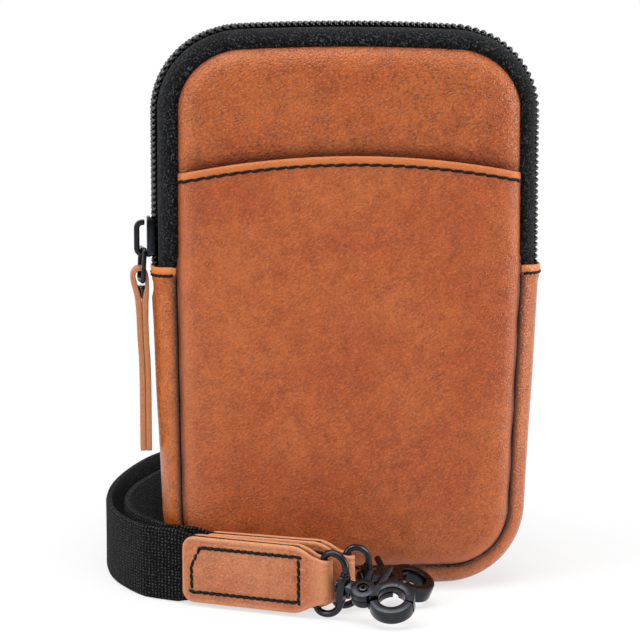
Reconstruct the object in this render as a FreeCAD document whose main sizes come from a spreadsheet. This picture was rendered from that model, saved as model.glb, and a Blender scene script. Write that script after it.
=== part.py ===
"""Leather phone pouch with a zip round its mouth and a detachable webbing strap.

The pouch stands on its flat underside.  +X is to the right, -Y is the front,
+Z is up, and the origin is the middle of the underside on the floor.
"""
import FreeCAD
import Part
import Sketcher
import math
import os
import re

V = FreeCAD.Vector
Turn = FreeCAD.Rotation
X_AXIS = V(1, 0, 0)
Y_AXIS = V(0, 1, 0)
Z_AXIS = V(0, 0, 1)

doc = FreeCAD.newDocument("phone_pouch")
sheet = doc.addObject("Spreadsheet::Sheet", "Sizes")

# Driving sizes in millimetres and degrees.
SIZES = [
    # The pouch: its seam line, seen from the front, and the band round it.
    ("seam_half_width", 54.8, "half width of the seam line from the zip ends up"),
    ("foot_taper", 3.6, "how much narrower the seam line is at the foot, on each side"),
    ("seam_top", 174.7, "height of the seam line's top run"),
    ("seam_half_depth", 13.0, "front and back seams either side of the middle"),
    ("band_rise", 7.8, "how far the leather band stands out of the seam line"),
    ("crest_half_width", 7.5, "flat crest of the leather band"),
    ("crest_round", 4.5, "rounding of the band's shoulders"),
    ("leather_thickness", 1.4, "one layer of leather"),
    ("top_corner_round", 20.0, "seam line's top corners"),
    ("foot_corner_round", 19.0, "seam line's foot corners"),
    ("corner_round_share", 0.6, "how fast the corners tighten as the dome steps in"),
    ("zip_end_height", 104.6, "where the zip ends and the leather band begins"),
    ("fold_gap", 0.3, "gap where the mouth folds"),
    # The panels are softly domed.
    ("dome_shoulder_inset", 4.0, "inset of the first dome step"),
    ("dome_shoulder_rise", 2.1, "rise at the first dome step"),
    ("dome_crown_inset", 14.0, "inset of the dome's crown"),
    ("dome_crown_rise", 3.5, "rise of the dome's crown"),
    ("layer_gap", 0.1, "air between the front panel and the pocket"),
    ("pocket_top", 140.0, "top of the pocket's arched edge"),
    ("pocket_arch_rise", 5.6, "how much the arch rises over its ends"),
    # The zip.
    ("tape_rise", 6.0, "how far the zip tape stands out of the seam line"),
    ("tape_flat_start", 4.6, "where the tape turns flat beside the coil"),
    ("tape_thickness", 0.9, "woven tape"),
    ("coil_half_width", 3.1, "outer edge of the coil"),
    ("coil_half_gap", 0.6, "half of the slit between the two coils"),
    ("coil_thickness", 1.8, "coil standing on the tape"),
    ("slider_stop", 2.8, "slider's lower end above the zip's end"),
    ("slider_length", 13.0, "slider body"),
    ("slider_width", 8.6, "slider plates"),
    ("slider_plate", 1.1, "slider plate"),
    ("slider_clearance", 0.25, "slider plates to coil and tape"),
    ("slider_web", 0.7, "web between the plates"),
    ("slider_web_length", 3.6, "web along the chain"),
    ("bridge_hole", 2.4, "room under the slider's bridge"),
    ("bridge_arm", 1.8, "the bridge's two arms"),
    ("bridge_bar", 1.6, "bar of the bridge"),
    ("bridge_length", 11.0, "bridge along the slider"),
    ("bridge_round", 2.6, "outer corners of the bridge"),
    ("bridge_width", 3.0, "bridge across the slider"),
    ("bridge_gap", 1.2, "gap over the bridge's free end"),
    ("link_wire", 0.7, "radius of the pull link's wire"),
    ("link_length", 10.2, "between the link's two bars"),
    ("link_corner", 1.0, "corner of the link, beside the leather pull"),
    ("pull_layer", 1.5, "one layer of the leather pull"),
    ("pull_width", 8.0, "leather pull, front to back"),
    ("pull_length", 55.2, "leather pull below the link's lower bar"),
    ("running_fit", 0.05, "radial clearance of a bar in its hole"),
    # The strap: webbing on edge, with a leather tab at each end.
    ("web_width", 23.0, "webbing width"),
    ("web_thickness", 2.2, "webbing thickness"),
    ("tab_length", 44.8, "wide part of the leather tab"),
    ("tab_height", 21.0, "height of the leather tab"),
    ("tab_layer", 1.5, "one leather layer of the tab"),
    ("neck_length", 5.7, "narrow end of the tab"),
    ("neck_height", 12.0, "height of the narrow end"),
    ("neck_slope", 5.5, "length over which the tab narrows"),
    ("tab_lead", 11.0, "webbing straight out of a tab"),
    ("outer_yaw", 29.5, "the outer tab's right end points this far to the front"),
    ("inner_yaw", 25.5, "the inner tab's right end points this far to the front"),
    ("outer_droop", 10.0, "the outer hook hangs down this far"),
    ("inner_droop", 15.0, "the inner hook hangs down this far"),
    ("outer_roll", 31.0, "the outer hook lies rolled this far"),
    ("inner_roll", 14.0, "the inner hook lies rolled this far"),
    ("inner_eye_back", 17.0, "the inner hook points this far to the back"),
    ("eye_wire", 1.1, "radius of the swivel eye's wire"),
    ("eye_room", 2.3, "room between the eye and the tab's narrow end"),
    ("eye_corner", 2.6, "corner of the eye beside the tab"),
    ("eye_bow_share", 0.92, "corner of the eye beside its block, as a share of the room there"),
    ("bar_slack", 0.3, "room for the tilted bar in the tab"),
    ("end_leather", 1.5, "leather between the bar's room and the tab's end"),
    ("head_room", 1.5, "from the tab's end to the swivel post's head"),
    ("barrel_length", 2.6, "swivel block, along its post"),
    ("barrel_depth", 4.4, "swivel block, front to back"),
    ("barrel_height", 7.4, "swivel block, along the eye's bar"),
    ("post_radius", 1.2, "swivel post and rivet"),
    ("post_head_radius", 2.1, "head of the swivel post"),
    ("post_head_length", 0.8, "head of the swivel post"),
    ("collar_length", 1.45, "collar between the swivel block and the hub"),
    ("hook_half_thickness", 2.0, "half of the claws' thickness"),
    ("hub_half_thickness", 2.6, "half of the pivot hub's thickness"),
    ("jaw_half_gap", 0.06, "half of the gap between the two jaws"),
    ("hub_radius", 3.8, "pivot hub"),
    ("hub_gap", 0.2, "hub to the collar beside it"),
    ("hub_overlap", 1.0, "arms and neck run this far into the hub"),
    ("arm_width", 4.4, "arms from the hub to the claw"),
    ("arm_overlap", 1.0, "arms past the hook's middle line"),
    ("hook_neck_width", 3.6, "neck between hub and swivel post"),
    ("collar_gap", 0.15, "neck to the swivel barrel"),
    ("head_gap", 0.1, "post's head to the swivel barrel"),
    ("claw_reach", 9.5, "from the pivot to the claw's middle"),
    ("claw_outer", 7.0, "claw ring"),
    ("claw_inner", 4.1, "claw hole"),
    ("claw_slit", 2.5, "half of the slit between the claws, in degrees"),
    ("claw_full_end", 88.0, "fixed claw is full thickness up to here, in degrees"),
    ("claw_half_end", 200.0, "fixed claw's front half ends here, in degrees"),
    ("claw_overlap", 2.0, "slices of the claw overlap this far, in degrees"),
    ("jaw_half_start", 112.0, "moving jaw's back half starts here, in degrees"),
    ("jaw_full_start", 220.0, "moving jaw is full thickness from here, in degrees"),
    ("lug_angle", 157.0, "thumb pin's root round the claw, in degrees"),
    ("lug_radius", 0.95, "thumb pin"),
    ("lug_sink", 0.5, "thumb pin's root inside the claw ring"),
    ("lug_length", 9.2, "thumb pin"),
    ("rivet_head_radius", 2.2, "rivet head"),
    ("rivet_head_height", 0.5, "rivet head"),
    ("dimple_radius", 0.9, "dimple in the rivet head"),
    ("dimple_depth", 0.3, "dimple in the rivet head"),
    ("spring_ring", 2.3, "radius of the spring's turn"),
    ("spring_wire", 0.3, "radius of the spring's wire"),
    ("spring_room", 0.9, "depth of the spring's groove"),
    # The anchor loops and rings on the back.
    ("loop_inset", 21.8, "anchor loops' middles in from the seam line"),
    ("loop_below_top", 16.7, "ring's bar below the seam line's top run"),
    ("loop_length", 20.0, "leather loop below the bar"),
    ("loop_width", 13.0, "leather loop"),
    ("ring_wire", 1.4, "radius of the ring's wire"),
    ("ring_drop", 14.0, "from the ring's bar to its bow"),
    ("ring_corner", 2.4, "corner of the ring beside the leather loop"),
    ("ring_bow_corner", 6.0, "corner of the ring's bow"),
    ("ring_lean", 8.0, "the ring hangs this far off the loop, in degrees"),
    ("cut_over", 1.0, "how far a cut runs past the solid"),
]
for row, (alias, number, meaning) in enumerate(SIZES, start=1):
    sheet.set(f"A{row}", meaning)
    sheet.set(f"B{row}", str(number))
    sheet.setAlias(f"B{row}", alias)
doc.recompute()
ALIASES = {alias for alias, number, meaning in SIZES}


def cell(text):
    """An expression in which each size's name points at its cell."""
    def point(match):
        word = match.group(0)
        return f"Sizes.{word}" if word in ALIASES else word
    return re.sub(r"[a-z][a-z_]*", point, text)


def value(text):
    """The number that an expression gives now."""
    found = sheet.evalExpression(cell(text))
    return float(getattr(found, "Value", found))


def bind(item, **links):
    """Bind properties to expressions; a double underscore stands for a dot."""
    for name, text in links.items():
        item.setExpression(name.replace("__", "."), cell(text))
    return item


def plane(body, role):
    return next(item for item in body.Origin.OriginFeatures if item.Role == role)


def body_sketch(body, name, role, offset="0"):
    """A sketch on one of the body's own planes, moved along the plane's normal."""
    sketch = body.newObject("Sketcher::SketchObject", name)
    sketch.AttachmentSupport = (plane(body, role), [""])
    sketch.MapMode = "FlatFace"
    sketch.AttachmentOffset = FreeCAD.Placement(V(0, 0, value(offset)), Turn())
    bind(sketch, AttachmentOffset__Base__z=offset)
    return sketch


def free_sketch(name, depth):
    """An upright sketch across the pouch at a depth along Y."""
    sketch = doc.addObject("Sketcher::SketchObject", name)
    sketch.Placement = FreeCAD.Placement(V(0, value(depth), 0), Turn(X_AXIS, 90))
    bind(sketch, Placement__Base__y=depth)
    return sketch


def pin(sketch, geometry, position, x_text, y_text):
    """Hold one point at a place given by two expressions."""
    for kind, text in (("DistanceX", x_text), ("DistanceY", y_text)):
        rule = Sketcher.Constraint(kind, -1, 1, geometry, position, value(text))
        index = sketch.addConstraint(rule)
        sketch.setExpression(f"Constraints[{index}]", cell(text))


def outline(sketch, corners, closed=True):
    """Straight sides between corners (x, y, rounding or None), all in expressions."""
    count = len(corners)
    spots = [V(value(x), value(y), 0) for x, y, rounding in corners]
    starts = list(spots)
    ends = list(spots)
    arcs = {}
    for i, (x, y, rounding) in enumerate(corners):
        if rounding is None:
            continue
        back = (spots[i - 1] - spots[i]).normalize()
        ahead = (spots[(i + 1) % count] - spots[i]).normalize()
        radius = value(rounding)
        half = back.getAngle(ahead) / 2
        run = radius / math.tan(half)
        ends[i] = spots[i] + back * run
        starts[i] = spots[i] + ahead * run
        middle = spots[i] + (back + ahead).normalize() * (radius / math.sin(half))
        left_turn = back.cross(ahead).z < 0
        first, last = (ends[i], starts[i]) if left_turn else (starts[i], ends[i])
        begin = math.atan2(first.y - middle.y, first.x - middle.x)
        finish = math.atan2(last.y - middle.y, last.x - middle.x)
        circle = Part.Circle(middle, Z_AXIS, radius)
        arcs[i] = (Part.ArcOfCircle(circle, begin, finish), left_turn, rounding)
    sides = count if closed else count - 1
    lines = []
    for i in range(sides):
        lines.append(sketch.addGeometry(Part.LineSegment(starts[i], ends[(i + 1) % count]), False))
    for i, (x, y, rounding) in enumerate(corners):
        before = lines[i - 1] if (closed or i > 0) else None
        after = lines[i] if i < sides else None
        if i in arcs:
            arc, left_turn, rounding = arcs[i]
            bend = sketch.addGeometry(arc, False)
            enter, leave = (1, 2) if left_turn else (2, 1)
            sketch.addConstraint(Sketcher.Constraint("Tangent", before, 2, bend, enter))
            sketch.addConstraint(Sketcher.Constraint("Tangent", bend, leave, after, 1))
            index = sketch.addConstraint(Sketcher.Constraint("Radius", bend, value(rounding)))
            sketch.setExpression(f"Constraints[{index}]", cell(rounding))
            spot = sketch.addGeometry(Part.Point(spots[i]), True)
            sketch.addConstraint(Sketcher.Constraint("PointOnObject", spot, 1, before))
            sketch.addConstraint(Sketcher.Constraint("PointOnObject", spot, 1, after))
            pin(sketch, spot, 1, x, y)
            continue
        if before is not None and after is not None:
            sketch.addConstraint(Sketcher.Constraint("Coincident", before, 2, after, 1))
        if after is not None:
            pin(sketch, after, 1, x, y)
        else:
            pin(sketch, before, 2, x, y)
    return sketch


def band(name, path_corners, section_corners, start_height):
    """A section in the XY plane carried along a path in the XZ plane."""
    body = doc.addObject("PartDesign::Body", name)
    path = outline(body_sketch(body, name + "_path", "XZ_Plane"), path_corners, closed=False)
    section = body_sketch(body, name + "_section", "XY_Plane", start_height)
    outline(section, section_corners)
    doc.recompute()
    pipe = body.newObject("PartDesign::AdditivePipe", name + "_pipe")
    pipe.Profile = section
    pipe.Spine = path
    pipe.Mode = "Standard"
    return body


FOOT_HALF_WIDTH = "(seam_half_width - foot_taper)"


def seam_corners(inset="0"):
    """The seam line, moved inwards."""
    return [
        (f"-(seam_half_width - {inset})", f"seam_top - {inset}", f"top_corner_round - {inset} * corner_round_share"),
        (f"-(seam_half_width - {inset})", "zip_end_height", None),
        (f"-({FOOT_HALF_WIDTH} - {inset})", f"band_rise + {inset}", f"foot_corner_round - {inset} * corner_round_share"),
        (f"{FOOT_HALF_WIDTH} - {inset}", f"band_rise + {inset}", f"foot_corner_round - {inset} * corner_round_share"),
        (f"seam_half_width - {inset}", "zip_end_height", None),
        (f"seam_half_width - {inset}", f"seam_top - {inset}", f"top_corner_round - {inset} * corner_round_share"),
    ]


def pillow(name, back_face, side):
    """A solid from a seam plane outwards, domed; side is -1 at the front and 1 at the back."""
    steps = [
        ("0", "0"),
        ("0", "leather_thickness"),
        ("dome_shoulder_inset", "leather_thickness + dome_shoulder_rise"),
        ("dome_crown_inset", "leather_thickness + dome_crown_rise"),
    ]
    sections = []
    for i, (inset, rise) in enumerate(steps):
        depth = f"{back_face} + ({side}) * ({rise})"
        sections.append(outline(free_sketch(f"{name}_step{i}", depth), seam_corners(inset)))
    loft = doc.addObject("Part::Loft", name)
    loft.Sections = sections
    loft.Solid = True
    loft.Ruled = True
    return loft


def domed_panel(name, back_face, side):
    """A leather layer of even thickness with a soft dome."""
    outer = pillow(name + "_outer", back_face, side)
    inner = pillow(name + "_inner", f"{back_face} - ({side}) * leather_thickness", side)
    panel = doc.addObject("Part::Cut", name)
    panel.Base = outer
    panel.Tool = inner
    return panel


def box(name, size, corner):
    """A box with its lowest corner given; sizes and corner are expressions."""
    item = doc.addObject("Part::Box", name)
    bind(item, Length=size[0], Width=size[1], Height=size[2])
    bind(item, Placement__Base__x=corner[0], Placement__Base__y=corner[1], Placement__Base__z=corner[2])
    return item


def rod(name, radius, length, foot, axis="z", angle="360", turn=0.0):
    """A cylinder from its foot along an axis, or a slice of one."""
    item = doc.addObject("Part::Cylinder", name)
    turns = {"x": Turn(Y_AXIS, 90), "y": Turn(X_AXIS, -90), "z": Turn(Z_AXIS, turn)}
    item.Placement = FreeCAD.Placement(V(0, 0, 0), turns[axis])
    bind(item, Radius=radius, Height=length, Angle=angle)
    bind(item, Placement__Base__x=foot[0], Placement__Base__y=foot[1], Placement__Base__z=foot[2])
    return item


def joined(name, pieces):
    item = doc.addObject("Part::MultiFuse", name)
    item.Shapes = pieces
    return item


def without(name, base, tools):
    """The base with each tool taken away."""
    for i, tool in enumerate(tools):
        cut = doc.addObject("Part::Cut", f"{name}_less{i}" if i < len(tools) - 1 else name)
        cut.Base = base
        cut.Tool = tool
        base = cut
    return base


def shared(name, base, tool):
    item = doc.addObject("Part::Common", name)
    item.Base = base
    item.Tool = tool
    return item


def wire_loop(name, far, half_height, corner, far_corner, wire):
    """A round-wire loop in the XZ plane: bars along Z at x = 0 and x = far."""
    reach = f"{far} - {corner} - {far_corner}"
    pieces = [
        rod(name + "_near", wire, f"2 * ({half_height} - {corner})", ("0", "0", f"{corner} - {half_height}")),
        rod(name + "_far", wire, f"2 * ({half_height} - {far_corner})", (far, "0", f"{far_corner} - {half_height}")),
        rod(name + "_top", wire, reach, (corner, "0", half_height), "x"),
        rod(name + "_low", wire, reach, (corner, "0", f"-({half_height})"), "x"),
    ]
    bends = [
        (corner, f"{half_height} - {corner}", corner, 180),
        (corner, f"{corner} - {half_height}", corner, 90),
        (f"{far} - {far_corner}", f"{far_corner} - {half_height}", far_corner, 0),
        (f"{far} - {far_corner}", f"{half_height} - {far_corner}", far_corner, 270),
    ]
    for i, (x, z, radius, turn) in enumerate(bends):
        bend = doc.addObject("Part::Torus", f"{name}_bend{i}")
        bend.Placement = FreeCAD.Placement(V(0, 0, 0), Turn(Y_AXIS, turn) * Turn(X_AXIS, 90) * Turn(Z_AXIS, 270))
        bind(bend, Radius1=radius, Radius2=wire, Angle3="90")
        bind(bend, Placement__Base__x=x, Placement__Base__z=z)
        pieces.append(bend)
    return joined(name, pieces)


nodes = {}

# The leather band: up both sides to the zip's ends and under the foot.
SIDE_RUN = "(seam_half_depth - crest_half_width)"
SLOPE = f"sqrt({SIDE_RUN} ^ 2 + band_rise ^ 2)"
LIP = f"leather_thickness * {SLOPE} / {SIDE_RUN}"
INNER_CREST = f"crest_half_width - leather_thickness * tan(atan(band_rise / {SIDE_RUN}) / 2)"
band_section = [
    ("-seam_half_width", "-seam_half_depth", None),
    ("-seam_half_width - band_rise", "-crest_half_width", "crest_round"),
    ("-seam_half_width - band_rise", "crest_half_width", "crest_round"),
    ("-seam_half_width", "seam_half_depth", None),
    (f"-seam_half_width + {LIP}", "seam_half_depth", None),
    ("-seam_half_width - band_rise + leather_thickness", INNER_CREST, "crest_round - leather_thickness"),
    ("-seam_half_width - band_rise + leather_thickness", f"-({INNER_CREST})", "crest_round - leather_thickness"),
    (f"-seam_half_width + {LIP}", "-seam_half_depth", None),
]
foot_path = [
    ("-seam_half_width", "zip_end_height", None),
    (f"-{FOOT_HALF_WIDTH}", "band_rise", "foot_corner_round"),
    (FOOT_HALF_WIDTH, "band_rise", "foot_corner_round"),
    ("seam_half_width", "zip_end_height", None),
]
nodes["gusset_band"] = band("gusset_band", foot_path, band_section, "zip_end_height")

# The zip: a woven tape and a coil on each side of the slit, over the top.
TAPE_RUN = "(seam_half_depth - tape_flat_start)"
TAPE_LIP = f"tape_thickness * sqrt({TAPE_RUN} ^ 2 + tape_rise ^ 2) / {TAPE_RUN}"
TAPE_BEND = f"tape_flat_start - tape_thickness * tan(atan(tape_rise / {TAPE_RUN}) / 2)"


def zip_path(start):
    return [
        ("-seam_half_width", start, None),
        ("-seam_half_width", "seam_top", "top_corner_round"),
        ("seam_half_width", "seam_top", "top_corner_round"),
        ("seam_half_width", start, None),
    ]


def tape_section(side):
    return [
        ("-seam_half_width", f"({side}) * seam_half_depth", None),
        ("-seam_half_width - tape_rise", f"({side}) * tape_flat_start", None),
        ("-seam_half_width - tape_rise", f"({side}) * coil_half_gap", None),
        ("-seam_half_width - tape_rise + tape_thickness", f"({side}) * coil_half_gap", None),
        ("-seam_half_width - tape_rise + tape_thickness", f"({side}) * ({TAPE_BEND})", None),
        (f"-seam_half_width + {TAPE_LIP}", f"({side}) * seam_half_depth", None),
    ]


def coil_section(side):
    return [
        ("-seam_half_width - tape_rise", f"({side}) * coil_half_width", None),
        ("-seam_half_width - tape_rise - coil_thickness", f"({side}) * coil_half_width", None),
        ("-seam_half_width - tape_rise - coil_thickness", f"({side}) * coil_half_gap", None),
        ("-seam_half_width - tape_rise", f"({side}) * coil_half_gap", None),
    ]


MOUTH_FOOT = "zip_end_height + fold_gap"
nodes["zip_tape_back"] = band("zip_tape_back", zip_path(MOUTH_FOOT), tape_section(1), MOUTH_FOOT)
nodes["zip_coil_back"] = band("zip_coil_back", zip_path(MOUTH_FOOT), coil_section(1), MOUTH_FOOT)
nodes["zip_tape_front"] = band("zip_tape_front", zip_path(MOUTH_FOOT), tape_section(-1), MOUTH_FOOT)
nodes["zip_coil_front"] = band("zip_coil_front", zip_path(MOUTH_FOOT), coil_section(-1), MOUTH_FOOT)

# The panels.  The front ones are parted at the fold, where the mouth swings open.
nodes["back_panel"] = domed_panel("back_panel", "seam_half_depth", 1)
front = domed_panel("front_whole", "-seam_half_depth", -1)
pocket = domed_panel("pocket_whole", "-seam_half_depth - leather_thickness - layer_gap", -1)
BLOCK = "4 * seam_half_width"
below = ("-2 * seam_half_width", "-2 * seam_half_width", f"zip_end_height - {BLOCK}")
above = ("-2 * seam_half_width", "-2 * seam_half_width", MOUTH_FOOT)


def lower_part(name, base):
    return shared(name, base, box(name + "_room", (BLOCK, BLOCK, BLOCK), below))


def upper_part(name, base):
    return shared(name, base, box(name + "_room", (BLOCK, BLOCK, BLOCK), above))


ARCH = "(seam_half_width ^ 2 + pocket_arch_rise ^ 2) / (2 * pocket_arch_rise)"
arch = rod("pocket_arch", ARCH, BLOCK, ("0", "-2 * seam_half_width", f"pocket_top - {ARCH}"), "y")
nodes["front_panel_lower"] = lower_part("front_panel_lower", front)
nodes["front_panel_upper"] = upper_part("front_panel_upper", front)
nodes["pocket_lower"] = lower_part("pocket_lower", pocket)
nodes["pocket_upper"] = shared("pocket_upper", upper_part("pocket_above_fold", pocket), arch)

# The zip slider: two plates with the chain between them, joined by a web in the slit,
# and a bridge on the outside that is open at its upper end.
CHAIN = "(seam_half_width + tape_rise + coil_thickness)"
OUTER_FACE = f"-{CHAIN} - slider_clearance"
INNER_FACE = "-seam_half_width - tape_rise + tape_thickness + slider_clearance"
BRIDGE_FACE = f"{OUTER_FACE} - slider_plate - bridge_hole"
slider = doc.addObject("PartDesign::Body", "zip_slider")


def slider_pad(name, corners, width):
    sketch = outline(body_sketch(slider, name + "_sketch", "XZ_Plane"), corners)
    doc.recompute()
    pad = slider.newObject("PartDesign::Pad", name)
    pad.Profile = sketch
    pad.SideType = "Symmetric"
    bind(pad, Length=width)
    doc.recompute()
    return pad


def upright(left, right, low, high):
    return [(left, low, None), (right, low, None), (right, high, None), (left, high, None)]


SLIDER_FOOT = "zip_end_height + slider_stop"
SLIDER_TOP = f"{SLIDER_FOOT} + slider_length"
BRIDGE_TOP = f"{SLIDER_FOOT} + bridge_length"
slider_pad("outer_plate", upright(f"{OUTER_FACE} - slider_plate", OUTER_FACE, SLIDER_FOOT, SLIDER_TOP), "slider_width")
web_span = upright(
    f"{OUTER_FACE} - slider_plate / 2", f"{INNER_FACE} + slider_plate / 2",
    SLIDER_FOOT, f"{SLIDER_FOOT} + slider_web_length",
)
slider_pad("web", web_span, "slider_web")
slider_pad("inner_plate", upright(INNER_FACE, f"{INNER_FACE} + slider_plate", SLIDER_FOOT, SLIDER_TOP), "slider_width")
bridge = [
    (f"{OUTER_FACE} - slider_plate / 2", SLIDER_FOOT, None),
    (f"{BRIDGE_FACE} - bridge_bar", SLIDER_FOOT, "bridge_round"),
    (f"{BRIDGE_FACE} - bridge_bar", BRIDGE_TOP, "bridge_round"),
    (f"{OUTER_FACE} - slider_plate - bridge_gap", BRIDGE_TOP, None),
    (f"{OUTER_FACE} - slider_plate - bridge_gap", f"{BRIDGE_TOP} - bridge_arm", None),
    (BRIDGE_FACE, f"{BRIDGE_TOP} - bridge_arm", None),
    (BRIDGE_FACE, f"{SLIDER_FOOT} + bridge_arm", None),
    (f"{OUTER_FACE} - slider_plate / 2", f"{SLIDER_FOOT} + bridge_arm", None),
]
slider_pad("bridge", bridge, "bridge_width")
nodes["zip_slider"] = slider

# The pull: a wire link through the bridge and a folded leather strip on the link.
LINK_X = f"{OUTER_FACE} - slider_plate - bridge_hole / 2"
LINK_TOP = f"{SLIDER_FOOT} + bridge_arm + running_fit + link_wire"
LINK_HALF_WIDTH = "(pull_width / 2 + link_corner)"
link = wire_loop("zip_pull_link", "link_length", LINK_HALF_WIDTH, "link_corner", "link_corner", "link_wire")
link.Placement = FreeCAD.Placement(V(0, 0, 0), Turn(V(0, 0, -1), V(-1, 0, 0), Y_AXIS, "XZY"))
bind(link, Placement__Base__x=LINK_X, Placement__Base__z=LINK_TOP)
nodes["zip_pull_link"] = link

PULL_BAR = f"{LINK_TOP} - link_length"
PULL_HOLE = "link_wire + running_fit"
fold = rod("pull_fold", f"{PULL_HOLE} + pull_layer", "pull_width", (LINK_X, "-pull_width / 2", PULL_BAR), "y")
strip = box(
    "pull_strip", ("2 * pull_layer", "pull_width", "pull_length"),
    (f"{LINK_X} - pull_layer", "-pull_width / 2", f"{PULL_BAR} - pull_length"),
)
eyelet = rod("pull_eyelet", PULL_HOLE, "2 * pull_width", (LINK_X, "-pull_width", PULL_BAR), "y")
nodes["zip_pull_leather"] = without("zip_pull_leather", joined("pull_whole", [fold, strip]), [eyelet])

# The anchor loops on the back panel and the rings in them.
BACK_CROWN = "(seam_half_depth + leather_thickness + dome_crown_rise)"
LOOP_HOLE = "(ring_wire + running_fit)"
LOOP_ROUND = f"({LOOP_HOLE} + leather_thickness)"
LOOP_Y = f"({BACK_CROWN} + {LOOP_ROUND})"
RING_BAR = "(seam_top - loop_below_top)"
RING_HALF_WIDTH = "(loop_width / 2 + ring_corner)"
for side_name, side in (("left", -1), ("right", 1)):
    middle = f"({side}) * (seam_half_width - loop_inset)"
    name = f"ring_loop_{side_name}"
    strip = box(
        name + "_strip", ("loop_width", "2 * leather_thickness", "loop_length"),
        (f"{middle} - loop_width / 2", BACK_CROWN, f"{RING_BAR} - loop_length"),
    )
    roll = rod(name + "_roll", LOOP_ROUND, "loop_width", (f"{middle} - loop_width / 2", LOOP_Y, RING_BAR), "x")
    hole = rod(name + "_hole", LOOP_HOLE, "3 * loop_width", (f"{middle} - 1.5 * loop_width", LOOP_Y, RING_BAR), "x")
    nodes[name] = without(name, joined(name + "_whole", [strip, roll]), [hole])
    ring = wire_loop(f"anchor_ring_{side_name}", "ring_drop", RING_HALF_WIDTH, "ring_corner", "ring_bow_corner", "ring_wire")
    lean = math.radians(value("ring_lean"))
    down = V(0, math.sin(lean), -math.cos(lean))
    ring.Placement = FreeCAD.Placement(V(0, 0, 0), Turn(down, V(0, 0, 0), X_AXIS, "XZY"))
    bind(ring, Placement__Base__x=middle, Placement__Base__y=LOOP_Y, Placement__Base__z=RING_BAR)
    nodes[f"anchor_ring_{side_name}"] = ring

# The strap lies on its edge: from the outer tab round the left of the pouch, put away
# behind it in a loose double spiral, and back round the left to the inner tab.
# The routes are the middle of the webbing on the floor, and each tab is placed by the
# end that the webbing goes into, in millimetres.
OUTER_TAB = (-53.2, -24.6)
INNER_TAB = (-47.2, -21.2)
OUTER_ROUTE = [
    (-68.4, -9.0), (-74.2, 10.0), (-76.2, 33.0), (-74.6, 60.0),
    (-69.0, 88.0),
]
COIL_ROUTE = [
    (-60.5, 114.0), (-45.0, 138.0), (-16.0, 153.0), (17.0, 153.0), (44.0, 137.0), (57.0, 110.0),
    (56.0, 80.0), (41.0, 56.0), (15.0, 42.5), (-13.0, 42.5), (-35.0, 57.0), (-42.0, 82.0), (-30.0, 104.0),
    (-7.0, 113.0), (15.0, 107.0), (24.0, 93.0), (18.0, 81.0), (5.0, 77.5), (-8.5, 79.5), (-20.0, 76.5),
    (-26.0, 67.0), (-22.5, 57.0), (-11.0, 53.0), (7.0, 55.0), (27.0, 66.5), (40.0, 86.0), (40.0, 110.0), (28.0, 130.0),
    (4.0, 139.0), (-22.0, 135.5), (-41.0, 118.0), (-52.5, 95.0),
]
INNER_ROUTE = [
    (-62.0, 73.0), (-69.0, 50.0), (-71.4, 27.0), (-69.2, 8.0), (-62.2, -7.0),
]


BEND_SHARE = 0.45


def bends_of(points):
    """Straight runs and tangent arcs, each arc as large as its two runs allow."""
    spots = [V(x, y, 0) for x, y in points]
    parts = []
    at = spots[0]
    for before, corner, after in zip(spots, spots[1:], spots[2:]):
        back = before - corner
        ahead = after - corner
        turn = math.pi - back.getAngle(ahead)
        run = BEND_SHARE * min(back.Length, ahead.Length)
        radius = run / math.tan(turn / 2)
        back.normalize()
        ahead.normalize()
        enter = corner + back * run
        leave = corner + ahead * run
        middle = corner + (back + ahead).normalize() * (radius / math.cos(turn / 2))
        parts.append(("line", at, enter))
        parts.append(("arc", enter, leave, middle, radius))
        at = leave
    parts.append(("line", at, spots[-1]))
    return parts


def shifted(parts, away):
    """The edges of one face of the webbing, moved sideways from its middle."""
    edges = []
    for part in parts:
        if part[0] == "line":
            along = (part[2] - part[1]).normalize()
            side = V(-along.y, along.x, 0) * away
            edges.append(Part.LineSegment(part[1] + side, part[2] + side).toShape())
            continue
        kind, enter, leave, middle, radius = part
        to_enter = enter - middle
        to_leave = leave - middle
        left_turn = to_enter.cross(to_leave).z > 0
        grown = (radius - away if left_turn else radius + away) / radius
        half_way = (to_enter + to_leave).normalize() * radius
        spots = [middle + arm * grown for arm in (to_enter, half_way, to_leave)]
        edges.append(Part.Arc(*spots).toShape())
    return edges


def webbing(name, parts):
    """Webbing on edge along a route on the floor."""
    half = value("web_thickness") / 2
    left = shifted(parts, half)
    right = shifted(parts, -half)
    first = parts[0][1]
    last = parts[-1][2]
    ends = []
    for spot in (first, last):
        near_left = min((v.Point for edge in left for v in edge.Vertexes), key=lambda p: (p - spot).Length)
        near_right = min((v.Point for edge in right for v in edge.Vertexes), key=lambda p: (p - spot).Length)
        ends.append(Part.LineSegment(near_left, near_right).toShape())
    wire = Part.Wire(Part.__sortEdges__(left + right + ends))
    solid = Part.Face(wire).extrude(V(0, 0, value("web_width")))
    length = sum(
        (part[2] - part[1]).Length if part[0] == "line"
        else part[4] * (part[1] - part[3]).getAngle(part[2] - part[3])
        for part in parts
    )
    radii = [round(part[4], 1) for part in parts if part[0] == "arc"]
    share = solid.Volume / (length * value("web_thickness") * value("web_width"))
    print(name, "length", round(length, 1), "radii", radii, "volume share", round(share, 4))
    item = doc.addObject("Part::Feature", name)
    item.Shape = solid
    return item


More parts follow.
